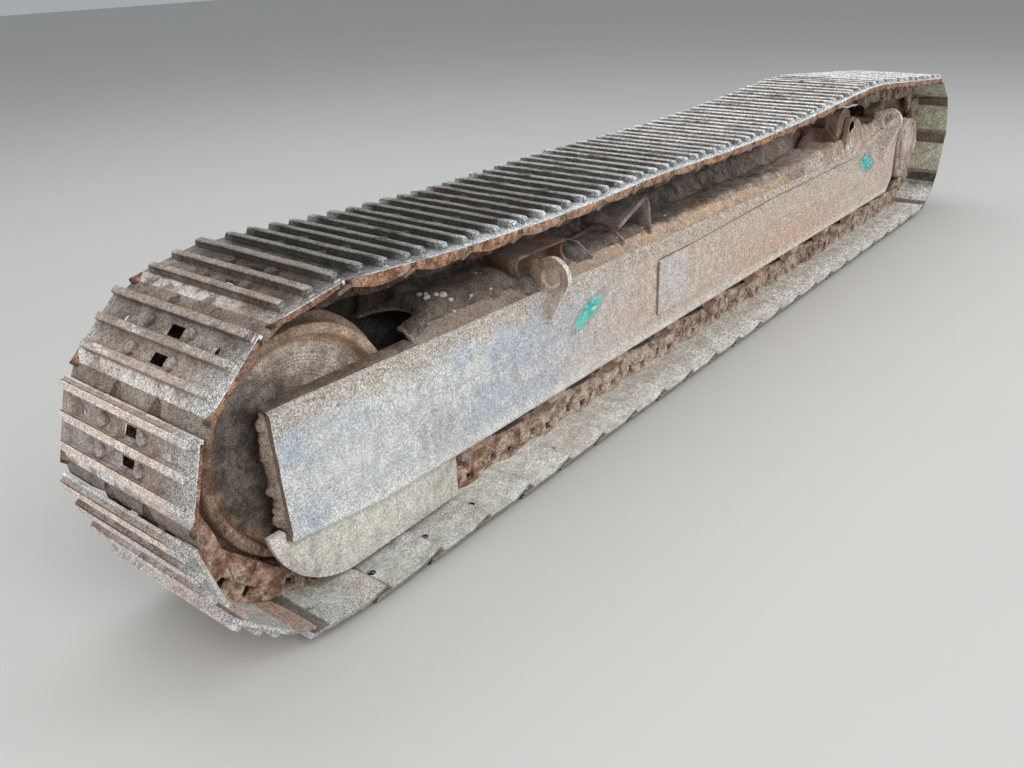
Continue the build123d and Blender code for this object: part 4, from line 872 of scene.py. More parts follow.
random.seed(7)
plate_part, rib_parts, bolt_parts = shoe_plate(), shoe_ribs(), shoe_bolts()
plates, grousers, bolts, bands, plugs, front_plugs = Build(), Build(), Build(), Build(), Build(), Build()
for i, row in enumerate(links):
    shift, tilt, skew = random.uniform(-1.4, 1.4), random.uniform(-0.0035, 0.0035), random.uniform(-0.003, 0.003)
    key = random.random()
    bend = [random.uniform(-1, 1) for _ in range(4)]
    high_up = row[1] > 560 or (row[1] > 400 and row[0] < X(0))
    for build, parts in ((plates, [plate_part]), (grousers, rib_parts), (bolts, bolt_parts)):
        for k, (verts, faces) in enumerate(parts):
            moved = []
            for a, y, w in verts:
                edge = max(0.0, abs(y) - 170) / 80.0
                dw = -2.2 * edge**2 * (0.5 + 0.5 * bend[0 if y < 0 else 1])
                worn = 0.0
                if build is grousers and w > 76:
                    worn = -2.6 * (0.5 + 0.5 * noise.noise(Vector((y / 46.0, i * 3.1, k * 1.7)))) - 0.9 * abs(noise.noise(Vector((y / 11.0, i * 1.3, k * 2.9))))
                if build is plates and a > 156 and row[0] > X(4085):
                    a = a + 12.0 * (a - 156) / 60.0
                if build is plates and abs(y) > 246:
                    y = y + (0.9 if y < 0 else -0.9) * (0.5 + 0.5 * noise.noise(Vector((a / 14.0, i * 2.3, y))))
                ww = w + dw + worn + tilt * (a - 95)
                moved.append((a + skew * y, max(-250.0, min(250.0, y + shift)), min(ww, 83.9)))
            build.add(lay(moved, row), faces, verts, key)
    # crust of rust and dirt hanging below the plate's ends, on the upper half of the loop
    if row[1] > 560:
        grow = min(1.0, (row[1] - 560) / 120.0)
        round_idler = row[0] < X(40)
        for s in (-1, 1):
            loops = []
            for n in range(21):
                t = n / 20.0
                a = 1.0 + 187.0 * t
                hang = ((7.0 + 5.0 * (4 * t * (1 - t)) ** 0.5) if round_idler else (2.0 + (25.0 - 6.0 * min(1.0, max(0.0, (row[0] - X(500)) / 700.0))) * (4 * t * (1 - t)) ** 0.5)) * (0.35 + 0.65 * grow) + 2.6 * noise.noise(Vector((a / 21.0, i * 1.9, s))) + 1.5 * noise.noise(Vector((a / 7.0, i * 0.7, s * 3)))
                fat = 18.0 + 5.0 * noise.noise(Vector((a / 26.0, i * 2.7, s * 2)))
                lowest = 58.0 - hang
                out_y = 249.2 + 0.7 * noise.noise(Vector((a / 9.0, i * 4.1, s * 5)))
                loop = [(a, s * (248.6), 61.5), (a, s * out_y, 57.0), (a, s * (out_y - 0.2), (57.0 + lowest) / 2), (a, s * (out_y - 2.5), lowest + 1.5), (a, s * (out_y - fat * 0.45), lowest),
                        (a, s * (out_y - fat), (54.0 + lowest) / 2), (a, s * (out_y - fat - 5), 54.5)]
                loop = [(p, max(-250.0, min(250.0, q + shift * 0.6)), w + tilt * (p - 95)) for p, q, w in loop]
                loops.append(loop if s > 0 else loop[::-1])
            v, f = rings(loops)
            bands.add(lay(v, row), f, v, key)
    # dirt that fills the plate's holes where the loop lies on the ground or turns round the sprocket
    packed = [] if row[0] < X(3700) else [(42.0, -14.0, 30.0), (108.0, -14.0, 30.0), (52.0, -161.0, 13.0), (52.0, 161.0, 13.0)]
    if row[0] < X(3700) and row[1] < 120:
        packed = [(52.0, -161.0, 12.0)] if key > 0.62 else []
    for a, y, r in packed:
        loops = []
        for rr, w in ((r, 55.5), (r, 60.5), (r * 0.6, 61.5)):
            loops.append([(a + min(rr, 15.5 if r > 20 else rr) * math.cos(math.radians(30 * q)), y + rr * math.sin(math.radians(30 * q)), w) for q in range(12)])
        v, f = rings(loops)
        plugs.add(lay(v, row), f, v, key)
    if row[0] > X(3900) or (row[0] < X(60) and row[1] > 90):
        for s in (-1, 1):
            loops = []
            for a in (164.0, 180.0, 196.0, 212.0, 224.0):
                w = lip_w(min(a, lip_end)) - (0.45 * (a - lip_end) if a > lip_end else 0.0)
                loops.append([(a, s * 48, w + 1), (a, s * 96, w + 1), (a, s * 96, w + 6), (a, s * 48, w + 6)])
            v, f = rings(loops)
            (plugs if row[0] > X(3900) else front_plugs).add(lay(v, row), f, v, key)
track_shoes = plates.piece("track_shoe_plates", mats["shoe_steel"], slot="shoe_steel", parts=["track_shoes"])
grousers.piece("track_shoe_grousers", mats["shoe_steel"], slot="shoe_steel", smooth=20, parts=["track_shoes"])
bolts.piece("track_shoe_bolts", mats["shoe_steel"], slot="shoe_steel", parts=["track_shoes"])
bands.piece("shoe_end_crust", mats["band"], slot="shoe_steel", parts=["track_shoes"])
plugs.piece("packed_dirt_in_holes", mats["plug"], slot="shoe_steel", parts=["track_shoes"])
front_plugs.piece("packed_dirt_in_front_notches", mats["front_plug"], slot="shoe_steel", parts=["track_shoes"])

# ------------------------------------------------------------------ chain links
def link_template():
    parts = []
    stations = [(-40, -11, 11), (-34, -26, 24), (-20, -39, 35), (0, -44, 40), (18, -44, 46), (30, -44, 53.8), (44, -44, 53.8), (56, -44, 53.8),
                (80, -44, 53.8), (94, -44, 53.8), (118, -44, 53.8), (132, -44, 53.8), (146, -44, 53.8), (160, -44, 53.8), (172, -44, 46),
                (190, -44, 40), (210, -39, 35), (224, -26, 24), (230, -11, 11)]
    us = [s[0] for s in stations]
    low = {s[0]: s[1] for s in stations}
    high = {s[0]: s[2] for s in stations}
    vs = [0.0, 0.12, 0.60, 0.88, 1.0]

    def keep(i, j):
        a, v = (us[i] + us[i + 1]) / 2, (vs[j] + vs[j + 1]) / 2
        return not ((44 < a < 80 or 118 < a < 146) and 0.60 < v < 0.88)

    for side in (-1, 1):
        def across(a, outer):
            t = min(1.0, max(0.0, (a - 62) / 56.0))
            t = t * t * (3 - 2 * t)
            y = (73.5 + 17.5 * t) if outer else (53.5 + 19.5 * t)
            return side * y

        def bottom(a, v):
            return (a, across(a, side < 0), low[a] + (high[a] - low[a]) * v)

        def top(a, v):
            return (a, across(a, side > 0), low[a] + (high[a] - low[a]) * v)

        parts.append(soften(*cells(us, vs, keep, bottom, top), 1.6))
        pin = disc_stack([(0.1, side * 95.5), (8, side * 95.5), (9, side * 93.5), (14, side * 93.5), (15, side * 95.5), (20, side * 95.2), (21, side * 93), (21, side * 84)], (190, 0), 20)
        parts.append(pin)
        parts.append(disc_stack([(31, side * 54.5), (31, side * 50), (27.8, side * 48)], (0, 0), 20))
    parts.append(disc_stack([(28, -53.0), (27.6, 0.0), (28, 53.0)], (0, 0), 24))
    return parts


chain = Build()
link_parts = link_template()
for i, row in enumerate(links):
    key = random.random()
    for verts, faces in link_parts:
        chain.add(lay(verts, row), faces, verts, key)
chain.piece("track_chain_links", mats["chain_steel"], slot="chain_steel", parts=["track_chain"])

# ------------------------------------------------------------------ idler
def idler_profile():
    half = [(40.3, 87.0), (43, 88.0), (84, 88.0), (88, 84.0), (92, 66.0), (98, 61.5), (150, 60.0), (205, 60.0), (236, 60.6), (243, 63.0), (248, 70.0),
            (251, 82.0), (254, 89.0), (258, 92.0), (266, 92.8), (274, 92.6), (278, 90.5), (279.8, 86.0), (279.2, 70.0), (279.6, 56.0),
            (283, 50.5), (294, 47.0), (298, 44.0), (299.6, 38.0), (299.6, 15.0)]
    return [(r, -y) for r, y in half] + [(r, y) for r, y in half[::-1]]


def idler_wobble(r, y, t):
    if r < 240:
        return 0.0
    return 0.9 * noise.noise(Vector((math.cos(t) * 4, math.sin(t) * 4, r * 0.05 + y * 0.02)))


centre = (X(idler_u), idler_z)
iv, ifc = lathe(idler_profile(), centre, 144, lambda r, y, t: min(0.0, idler_wobble(r, y, t)))
idler = Build()
local = [((x - centre[0]), y, (z - centre[1])) for x, y, z in iv]
idler.add(iv, ifc, local)
for s in (-1, 1):
    for k in range(4):
        t = math.radians(45 + 90 * k)
        c = (centre[0] + 66 * math.cos(t), centre[1] + 66 * math.sin(t))
        v, f = disc_stack([(9, s * 86), (9, s * 91), (7, s * 92.5)], c, 6)
        idler.add(v, f, [(x - centre[0], y, z - centre[1]) for x, y, z in v])
idler.piece("idler_rim_and_web", mats["idler_steel"], body="idler", slot="idler_steel", parts=["idler_wheel"])

# ------------------------------------------------------------------ frame sides
def bottom_z(u):
    table = [(-170, skirt_end_z), (fork_end_u + 5, skirt_end_z), (120, skirt_z + 4), (400, skirt_z), (3820, skirt_z), (3880, skirt_z + 55), (3900, skirt_z + 70)]
    for (a, p), (b, q) in zip(table[:-1], table[1:]):
        if u <= b:
            return p + (q - p) * max(0.0, (u - a)) / (b - a)
    return table[-1][1]


def top_z(u):
    if u > 3840:
        return fold_z(3840) - (u - 3840) * 0.62
    return fold_z(u)


def dent(u, z, seed):
    return 1.7 * fbm((u, z, 0), 260.0, 3, seed) + 0.5 * fbm((u, z, 5), 60.0, 3, seed)


def side_plate(name, side, end_u, strip, parts):
    """side is -1 for the outer plate. The plate has a rolled top edge and a thin strip along its bottom."""
    b = Build()
    stations = []
    u = fork_end_u - 8
    while u < end_u - 1:
        stations.append(u)
        u += 6 if u < -120 else (14 if u < 900 else 26)
    stations.append(end_u)
    loops, locals_ = [], []
    for u in stations:
        lo, hi = bottom_z(max(u, fork_end_u + 5)), top_z(max(u, fork_end_u))
        on = strip and -112 < u < 3800
        p = 8.0 if on else 0.6
        ring_pts = [(138.4, lo + 1), (140, lo), (148.6, lo), (150, lo + 2.0), (150, lo + 6), (150 + p * 0.85, lo + 6.6), (150 + p, lo + 8.5), (150 + p, lo + 17.5),
                    (150 + p * 0.85, lo + 19.6), (150.0, lo + 20.6), (150, lo + 24)]
        for k in range(1, 9):
            ring_pts.append((150, lo + 24 + (hi - 16 - lo - 24) * k / 8.0))
        ring_pts += [(149.2, hi - 9), (147.0, hi - 4.2), (143.6, hi - 1.2), (140.5, hi - 0.2), (138.4, hi - 1.5)]
        for k in range(1, 6):
            ring_pts.append((138.2, hi - 3 + (lo + 3 - hi) * k / 6.0))
        loop = []
        for y, z in ring_pts:
            slant = 0.0
            if u < -60:
                share = (u - (fork_end_u - 8)) / (-60 - (fork_end_u - 8))
                slant = (1 - share) * (8.0 - 8.0 * (hi - z) / (hi - lo) * -1.0 - 8.0)
                slant = (1 - share) * (13.0 * (hi - z) / (hi - lo))
                if u < -150:
                    slant += 2.6 * fbm((0, 0, z), 22.0, 3, 3.0) + 1.5
            yy = y + (dent(u, z, 1.0 + side) if y > 149.5 else 0.0) * (1 if 20 < z - lo < hi - lo - 12 else 0.4)
            zz = z + (0.9 * fbm((u, 0, 0), 120.0, 2, 9.0) if z > hi - 12 else 0.0)
            loop.append((X(u) + slant, side * yy, zz))
        loops.append(loop if side > 0 else loop[::-1])
    v, f = rings(loops)
    b.add(v, f)
    return b.piece(name, mats["side"], slot="frame_paint", parts=parts, smooth=40)


side_plate("side_plate_outer", -1, 3880.0, True, ["frame_side_outer", "web_strip"])

# ------------------------------------------------------------------ frame roof
def roof_top(u, y):
    z = fold_z(u) - 10
    a = abs(y)
    slope = z + roof_rise * (side_in - a) / (side_in - roof_flat_half)
    flat = z + roof_rise
    t = min(1.0, max(0.0, (a - roof_flat_half + 9) / 18.0))
    t = t * t * (3 - 2 * t)
    return flat * (1 - t) + min(slope, flat) * t


def cut_half(u):
    s = (u - 300.0) / 110.0
    return 72.0 * max(0.0, 1 - s**2.4) ** (1 / 2.4) if s < 1 else 0.0


roof = Build()
roof_us = [300 + 5 * k for k in range(22)] + [408, 410] + [420 + 20 * k for k in range(164)] + [3700]
shares = [0, 0.03, 0.12, 0.22, 0.29, 0.33, 0.37, 0.41, 0.46, 0.55, 0.7, 0.85, 1.0]
for side in (-1, 1):
    def place(u, s):
        return side * (side_in - 0.4 - s * (side_in - 0.4 - cut_half(u)))

    def low(u, s):
        y = place(u, s)
        return (X(u), y, roof_top(u, y) - 10.5)

    def high(u, s):
        y = place(u, s)
        return (X(u), y, roof_top(u, y) + 0.8 * fbm((u, y, 0), 90.0, 3, 2.0) - 0.6)

    v, f = cells(roof_us, shares, lambda i, j: True, low, high) if side > 0 else cells(roof_us, shares, lambda i, j: True, high, low)
    roof.add(v, f)
roof.piece("roof_plate", mats["roof"], slot="frame_paint", parts=["frame_roof"], smooth=40)
# ------------------------------------------------------------------ guards over the chain at the idler
def prism(outline, y0, y1, bevel=1.5, segments=1):
    """outline is (x, z); closed between two y planes, with softened edges."""
    loops = [[(x, y0, z) for x, z in outline], [(x, y1, z) for x, z in outline]]
    v, f = rings(loops)
    return soften(v, f, bevel, segments)


def arc(cx, cz, r, a0, a1, n):
    return [(cx + r * math.cos(math.radians(a0 + (a1 - a0) * k / n)), cz + r * math.sin(math.radians(a0 + (a1 - a0) * k / n))) for k in range(n + 1)]


def three_point(p, q, r, n):
    """Points along the arc through three points."""
    (ax, ay), (bx, by), (cx, cy) = p, q, r
    d = 2 * (ax * (by - cy) + bx * (cy - ay) + cx * (ay - by))
    ux = ((ax**2 + ay**2) * (by - cy) + (bx**2 + by**2) * (cy - ay) + (cx**2 + cy**2) * (ay - by)) / d
    uy = ((ax**2 + ay**2) * (cx - bx) + (bx**2 + by**2) * (ax - cx) + (cx**2 + cy**2) * (bx - ax)) / d
    rad = math.hypot(ax - ux, ay - uy)
    t0, t1, t2 = (math.atan2(y - uy, x - ux) for x, y in (p, q, r))
    while t1 < t0:
        t1 += 2 * math.pi
    while t2 < t0:
        t2 += 2 * math.pi
    if t1 > t2:
        t2 -= 2 * math.pi
    return [(ux + rad * math.cos(t0 + (t2 - t0) * k / n), uy + rad * math.sin(t0 + (t2 - t0) * k / n)) for k in range(n + 1)]


for name, side in (("chain_guard_outer", -1), ("chain_guard_inner", 1)):
    g = Build()
    nose = three_point((X(20), 56.0), (X(-120), 112.0), (X(-206), 262.0), 18)
    outline = [(X(410), 66.0)] + [(X(410 - 390 * k / 8.0), 66.0 - 10.0 * k / 8.0 + 0.8 * fbm((k, 0, 0), 2.3, 2, 4)) for k in range(1, 8)] + nose + [
        (X(-164), 262.0), (X(-158), 256.0), (X(-158), 230.0), (X(410), 230.0)]
    g.add(*prism(outline, side * 122.0, side * 138.0, 2.4, 2))
    for u in (44.0, 184.0, 322.0):
        v, f = prism([(X(u) - 3.5, 88.0), (X(u) + 3.5, 88.0), (X(u) + 3.5, 192.0), (X(u) - 3.5, 192.0)], side * 137.0, side * 141.0, 1.2)
        g.add(v, f)
    g.piece(name + "_plate", mats["guard"], slot="frame_paint", parts=[name])

# ------------------------------------------------------------------ bottom rollers and their mounts
roller_us = [520.0 + 360.0 * k for k in range(9)]
roller_z = 206.0
rail_deck_z = 245.0
rollers, mounts = Build(), Build()
for n, u in enumerate(roller_us):
    half = [(30.2, 102.6), (52, 102.8), (56, 100.5), (62, 100.0), (88, 101.5), (91.6, 100.0), (91.8, 97.0), (84, 94.5), (75.8, 92.6), (75.0, 72.0), (75.8, 53.0), (70, 49.0), (54.5, 44.0), (54, 20.0)]
    v, f = lathe([(r, -y) for r, y in half] + [(r, y) for r, y in half[::-1]], (X(u), roller_z), 40)
    rollers.add(v, f, key=n * 0.11)
    for s in (-1, 1):
        body = [(X(u) - 61, rail_deck_z - 0.5), (X(u) - 61, 219), (X(u) - 50, 190), (X(u) - 38, 167), (X(u) - 22, 158), (X(u) + 22, 158), (X(u) + 38, 167), (X(u) + 50, 190), (X(u) + 61, 219), (X(u) + 61, rail_deck_z - 0.5)]
        body = [(x + 1.5 * noise.noise(Vector((x * 0.05, z * 0.05, n))), max(162.6, z)) for x, z in body]
        mounts.add(*prism(body, s * 114.5, s * 135.5, 2.2, 2), key=n * 0.1)
        mounts.add(*disc_stack([(27, s * 134), (27, s * 136.4), (21, s * 137.2), (20, s * 136.2), (8, s * 136.2)], (X(u), roller_z), 24), key=n * 0.1)
        for dx in (-44, 44):
            mounts.add(*disc_stack([(9, s * 135), (9, s * 138.0)], (X(u) + dx, 226), 6), key=n * 0.1)
rollers.piece("bottom_rollers", mats["chain_node"], slot="chain_steel", parts=["track_rollers"])
mounts.piece("roller_mount_blocks", mats["mount_steel"], slot="rusty_steel", parts=["roller_mounts"])

# ------------------------------------------------------------------ ears, skids and bracket on the roof
def across_plate(outline, x0, x1, bevel=1.8, segments=2):
    """outline is (y, z); closed between two x planes, with softened edges."""
    v, f = rings([[(x0, y, z) for y, z in outline], [(x1, y, z) for y, z in outline]])
    return soften(v, f, bevel, segments)


def bead(path, r=4.0, step=5.0, seed=0.0, sides=7):
    """Weld bead along a path of (x, y, z), uneven in thickness."""
    out = Build()
    for p, q in zip(path[:-1], path[1:]):
        p, q = Vector(p), Vector(q)
        d = (q - p)
        n = max(2, int(d.length / step))
        d.normalize()
        side = d.orthogonal().normalized()
        other = d.cross(side)
        loops = []
        for k in range(n + 1):
            c = p.lerp(q, k / n)
            rr = r * (1.0 + 0.22 * noise.noise(c * 0.16 + Vector((seed, 0, 0))))
            loops.append([tuple(c + side * rr * math.cos(2 * math.pi * j / sides) + other * rr * math.sin(2 * math.pi * j / sides)) for j in range(sides)])
        out.add(*rings(loops))
    return out.verts, out.faces


def slope_z(u, y):
    return fold_z(u) - 10 + roof_rise * min(1.0, (side_in - abs(y)) / (side_in - roof_flat_half))


eye_y, eye_r, ear_r = 171.0, 31.0, 61.0
for name, u, z, tip, fold, web_top in (("tie_lug_front", 806.0, 585.0, 450.0, fold_z(806.0), fold_z(806.0) + 0.5), ("tie_lug_rear", 3645.0, 586.0, 400.0, fold_z(3665.0), fold_z(3665.0) + 5.0)):
    arc_pts = []
    a0, a1 = math.radians(-139), math.radians(-270)
    for k in range(19):
        t = a0 + (a1 - a0) * k / 18
        arc_pts.append((-eye_y + (ear_r - 0.4) * math.cos(t), z + (ear_r - 0.4) * math.sin(t)))
    outline = [(-140, z + ear_r - 9), (-107, z + 44.6), (-95.4, z + 36.6), (-95.4, (z + fold) / 2 + 32), (-95.4, fold + 26.9), (-110, fold + 14.5), (-126, fold + 0.9), (-138, web_top + 0.3),
               (-150.3, web_top + 0.3), (-150.3, (web_top + tip) / 2 + 20), (-150.3, (web_top + tip) / 2 - 20), (-150.3, tip + 0.4), (-167.6, tip + 0.4), (-191, (tip + z - 40) / 2)] + arc_pts
    m = len(outline)
    angles = [math.atan2(q - z, p + eye_y) for p, q in outline]
    hole = [(-eye_y + (eye_r + 0.2) * math.cos(t), z + (eye_r + 0.2) * math.sin(t)) for t in angles]
    wide = [(-eye_y + (eye_r + 3.4) * math.cos(t), z + (eye_r + 3.4) * math.sin(t)) for t in angles]

    def pulled(points, d):
        out = []
        for p, q in points:
            dy, dz = -150.0 - p, (z - 30) - q
            s = max(1.0, math.hypot(dy, dz))
            out.append((p + dy / s * d, q + dz / s * d))
        return out

    x0, x1 = X(u) + 0.3, X(u) + 19.7
    loops = [[(x0 + 3, p, q) for p, q in hole], [(x0, p, q) for p, q in wide], [(x0, p, q) for p, q in pulled(outline, 3.0)], [(x0 + 0.9, p, q) for p, q in pulled(outline, 0.9)], [(x0 + 3.2, p, q) for p, q in outline],
             [(x1 - 3.2, p, q) for p, q in outline], [(x1 - 0.9, p, q) for p, q in pulled(outline, 0.9)], [(x1, p, q) for p, q in pulled(outline, 3.0)], [(x1, p, q) for p, q in wide], [(x1 - 3, p, q) for p, q in hole]]
    verts, faces = [], []
    for loop in loops:
        verts += [(p, q + (0.8 * noise.noise(Vector((q * 0.06, r * 0.06, 2.0))) if k > 13 else 0.0), r) for k, (p, q, r) in enumerate(loop)]
    count = len(loops)
    for k in range(count):
        for i in range(m):
            j = (i + 1) % m
            k2 = (k + 1) % count
            faces.append((k * m + i, k2 * m + i, k2 * m + j, k * m + j))
    lug = Build()
    lug.add(verts, faces)
    for x in (x0 - 1.5, x1 + 1.5):
        lug.add(*bead([(x, -97, fold + 25), (x, -126, fold - 1), (x, -150, web_top - 1)], 4.2, 5, u))
        lug.add(*bead([(x, -151, web_top - 1), (x, -151, tip + 2)], 4.0, 5, u + 3))
    lug.add(*bead([(x0, -151, tip - 1), (x1, -151, tip - 1)], 4.0, 4, u + 5))
    lug.piece(name + "_plate", mats["lug"], slot="frame_paint", parts=[name])

def skid_plate(b, u, outline, seed):
    """A cross plate on the roof; outline is its right half (y, z), from the shoulder to the top."""
    f0 = fold_z(u)
    right = [(111.4, f0 + 12.4)] + outline
    section = [(-roof_flat_half, f0 + 32.3), (roof_flat_half, f0 + 32.3)] + right + [(-y, z) for y, z in right[::-1]]
    b.add(*across_plate(section, X(u) + 0.3, X(u) + 11.7, 1.6, 2))
    for x in (X(u) - 1, X(u) + 13):
        b.add(*bead([(x, -110, slope_z(u, 110) + 1), (x, -88, f0 + 33), (x, 88, f0 + 33), (x, 110, slope_z(u, 110) + 1)], 4.0, 7, seed))


s = Build()
for u, outline in ((1096.0, [(111.4, 561.7), (82, 581), (54, 599.6)]), (1281.0, [(111.4, 563.6), (82, 586), (54, 607.6)]),
                   (1446.0, [(111.2, 580), (107, 610), (103.4, 642), (97, 657), (91.6, 663)])):
    skid_plate(s, u, outline, u)
    s.add(*bead([(X(u) - 1, -52, outline[-1][1] - 1), (X(u) - 1, 52, outline[-1][1] - 1)], 3.0, 7, u + 2))
web = []
for u in (1107, 1281, 1447):
    top = 592.0 if u < 1200 else (607.6 if u < 1300 else 672.0)
    web.append([(X(u), y, z) for y, z in ((-5.7, fold_z(u) + 32.3), (5.7, fold_z(u) + 32.3), (5.7, top - 10), (-5.7, top - 10))])
s.add(*rings(web))
loops = []
for k in range(13):
    u = 1281.4 + (1457.6 - 1281.4) * k / 12.0
    top = 608.0 + 70.0 * (u - 1281.0) / 177.0 - 0.5
    w = 0.8 * noise.noise(Vector((k * 0.9, 7.0, 1.0)))
    drop = 1.2 if k in (0, 12) else 0.0
    loops.append([(X(u), -91.4 + w * 0.4, top - 14.8), (X(u), 91.4 - w * 0.4, top - 14.8), (X(u), 91.4, top - 3 - drop), (X(u), 88.6, top - drop - 0.3), (X(u), 52, top - 1.6 - drop - abs(w)), (X(u), 40, top - drop - 0.3),
                  (X(u), -40, top - drop - 0.3), (X(u), -52, top - 1.6 - drop - abs(w)), (X(u), -88.6, top - drop - 0.3), (X(u), -91.4, top - 3 - drop)])
s.add(*rings(loops))
s.piece("skid_front_ramp", mats["skid"], slot="rusty_steel", parts=["skid_front"])
s = Build()
skid_plate(s, 3085.0, [(113.6, 584.6), (94, 602), (73, 619.6), (60, 624.6), (48, 626.6)], 5.0)
s.add(*rings([[(X(u), y, z) for y, z in ((-7.7, fold_z(u) + 32.3), (7.7, fold_z(u) + 32.3), (7.7, top), (-7.7, top))] for u, top in ((2940.4, 559.6), (3020, 614.6), (3086, 614.6))]))
s.add(*bead([(X(3084), -96, 600), (X(3084), -74, 618)], 2.2, 5, 9))
s.piece("skid_rear_plate", mats["skid_rear"], slot="rusty_steel", parts=["skid_rear"])

cover = Build()
u0, u1, top = 770.0, 1000.0, 640.0
for u in (u0, u1 - 12):
    f0 = fold_z(u)
    section = [(-88, f0 + 32.3), (88, f0 + 32.3), (105.4, f0 + 17.4), (94, f0 + 28), (82, f0 + 42), (74, f0 + 56), (73, top - 32), (76, top - 20), (87.4, top - 10.2),
               (-87.4, top - 10.2), (-76, top - 20), (-73, top - 32), (-74, f0 + 56), (-82, f0 + 42), (-94, f0 + 28), (-105.4, f0 + 17.4)]
    cover.add(*across_plate(section, X(u) + 0.3, X(u) + 11.7, 1.6, 2))
    for x in (X(u) - 1, X(u) + 13):
        cover.add(*bead([(x, -103, slope_z(u, 103) + 1), (x, -88, f0 + 33), (x, 88, f0 + 33), (x, 103, slope_z(u, 103) + 1)], 4.0, 7, u))
cover.add(*soften(*rings([[(X(u0 + 11), y, z) for y, z in ((-29.6, fold_z(u0) + 33), (29.6, fold_z(u0) + 33), (29.6, top - 10), (-29.6, top - 10))],
                          [(X(u1 - 11), y, z) for y, z in ((-29.6, fold_z(u1) + 33), (29.6, fold_z(u1) + 33), (29.6, top - 10), (-29.6, top - 10))]]), 1.2))
loops = []
for k in range(13):
    x = X(u0 + 0.4 + (u1 - u0 - 0.8) * k / 12.0)
    w = 0.7 * noise.noise(Vector((k * 0.8, 4.0, 1.0)))
    loops.append([(x, -87 + w, top - 9.8), (x, 87 + w, top - 9.8), (x, 87.6, top - 3), (x, 85.5, top - 0.6), (x, 40, top - 0.8 + w * 0.3), (x, -40, top - 0.8 - w * 0.3), (x, -85.5, top - 0.6), (x, -87.6, top - 3)])
cover.add(*soften(*rings(loops), 0.8))
cover.piece("spring_cover_bracket", mats["bracket"], slot="rusty_steel", parts=["spring_cover"])

# ------------------------------------------------------------------ dirt lying on the roof, with stones, and a dark bank on the inner half as painted shade
def smooth(a, b, t):
    t = min(1.0, max(0.0, (t - a) / (b - a)))
    return t * t * (3 - 2 * t)


def heap(u, y):
    """Height of the loose dirt on the roof; on the inner half it rises to just under the top run as a dark mass that
    stands for the shade there.
    """
    a = abs(y)
    low = 0.5 + 0.5 * fbm((u, y, 0), 140.0, 4, 21.0)
    front = smooth(340, 470, u) * smooth(800, 700, u) * (1 - smooth(50, 108, a + 14 * fbm((u, y, 0), 70.0, 2, 5.0))) * (30 + 16 * low)
    rim_d = abs(math.hypot((u - 300) / 1.25, y) - 92.0)
    rim = 13 * smooth(34, 0, rim_d) * smooth(300, 330, u) * (0.6 + 0.6 * low)
    between = smooth(1000, 1040, u) * smooth(1110, 1090, u) * (1 - smooth(60, 112, a)) * (20 + 12 * low)
    skid_1 = smooth(1110, 1122, u) * smooth(1440, 1428, u) * (1 - smooth(66, 106, a)) * (10 + 12 * low)
    thin = smooth(1470, 1560, u) * smooth(2950, 2860, u) * (1 - smooth(72, 120, a)) * max(0.0, 20 * low - 5)
    if y > 0:
        rear = smooth(2850, 3040, u) * smooth(3690, 3640, u) * (1 - smooth(94, 138, a)) * (14 + 22 * low)
    else:
        level = 566.0 + 16.0 * smooth(3100, 3300, u) - 10.0 * smooth(3450, 3640, u) + 9.0 * fbm((u, y, 0), 90.0, 3, 51.0) - 22.0 * smooth(3085, 3140, u) * smooth(3225, 3150, u) * smooth(104, 92, a)
        rear = smooth(2500, 2980, u) * smooth(3700, 3640, u) * max(0.0, level - roof_top(u, y)) * (1 - smooth(108, 149, a))
        lump = 165.0 * math.exp(-((u - 3242) / 52) ** 2 - ((a - 123) / 18) ** 2) + 118.0 * math.exp(-((u - 3362) / 62) ** 2 - ((a - 108) / 30) ** 2)
        lump = lump * (1.0 + 0.20 * fbm((u, y, 5), 34.0, 3, 53.0))
        rear = max(rear, lump * smooth(3090, 3160, u))
    # on the inner half the dirt rises to just under the top run, a dark mass standing for the shade there: painted
    # shade
    top = 642.0 - 30.0 * smooth(500, 1700, u) + 12.0 * fbm((u, 0, 0), 170.0, 3, 41.0) + 15.0 * math.exp(-((u - 1515) / 80) ** 2) + 20.0 * math.exp(-((u - 1710) / 100) ** 2)
    if y > 0:
        rise = smooth(14, 58, y) * (1 - smooth(74, 133, y)) if u > 420 else smooth(66, 84, y) * (1 - smooth(88, 133, y))
        clear = max(smooth(3125, 3085, u), smooth(3335, 3375, u))
        ridge = rise * max(0.0, top - (fold_z(u) - 10 + roof_rise)) * smooth(302, 340, u) * smooth(3690, 3600, u) * clear
    else:
        ridge = 0.0
    ear = 24 * math.exp(-(((u - 3615) / 46) ** 2 + ((a - 112) / 20) ** 2)) + 20 * math.exp(-(((u - 782) / 34) ** 2 + ((a - 108) / 18) ** 2))
    grit = 2.2 * abs(fbm((u, y, 3), 16.0, 3, 8.0)) + 1.6 * fbm((u, y, 7), 34.0, 2, 2.0)
    h = max(front, rim, between, skid_1, thin, rear, ridge)
    h = h + ear
    return h + (grit if h > 2 else -3.0)


mound = Build()
heap_us = [302 + 8 * k for k in range(108)] + [1166 + 14 * k for k in range(36)] + [1670 + 22 * k for k in range(55)] + [2880 + 8 * k for k in range(101)]
heap_us = [u for u in heap_us if u < 3690]
heap_ys = [-149, -146, -142, -138] + [-134 + 268 * k / 30.0 for k in range(31)]


def keep_heap(i, j):
    u, y = (heap_us[i] + heap_us[i + 1]) / 2, (heap_ys[j] + heap_ys[j + 1]) / 2
    return abs(y) >= cut_half(u) + 2.0 and max(heap(u, y), heap(heap_us[i], y), heap(heap_us[i + 1], y)) > 1.0


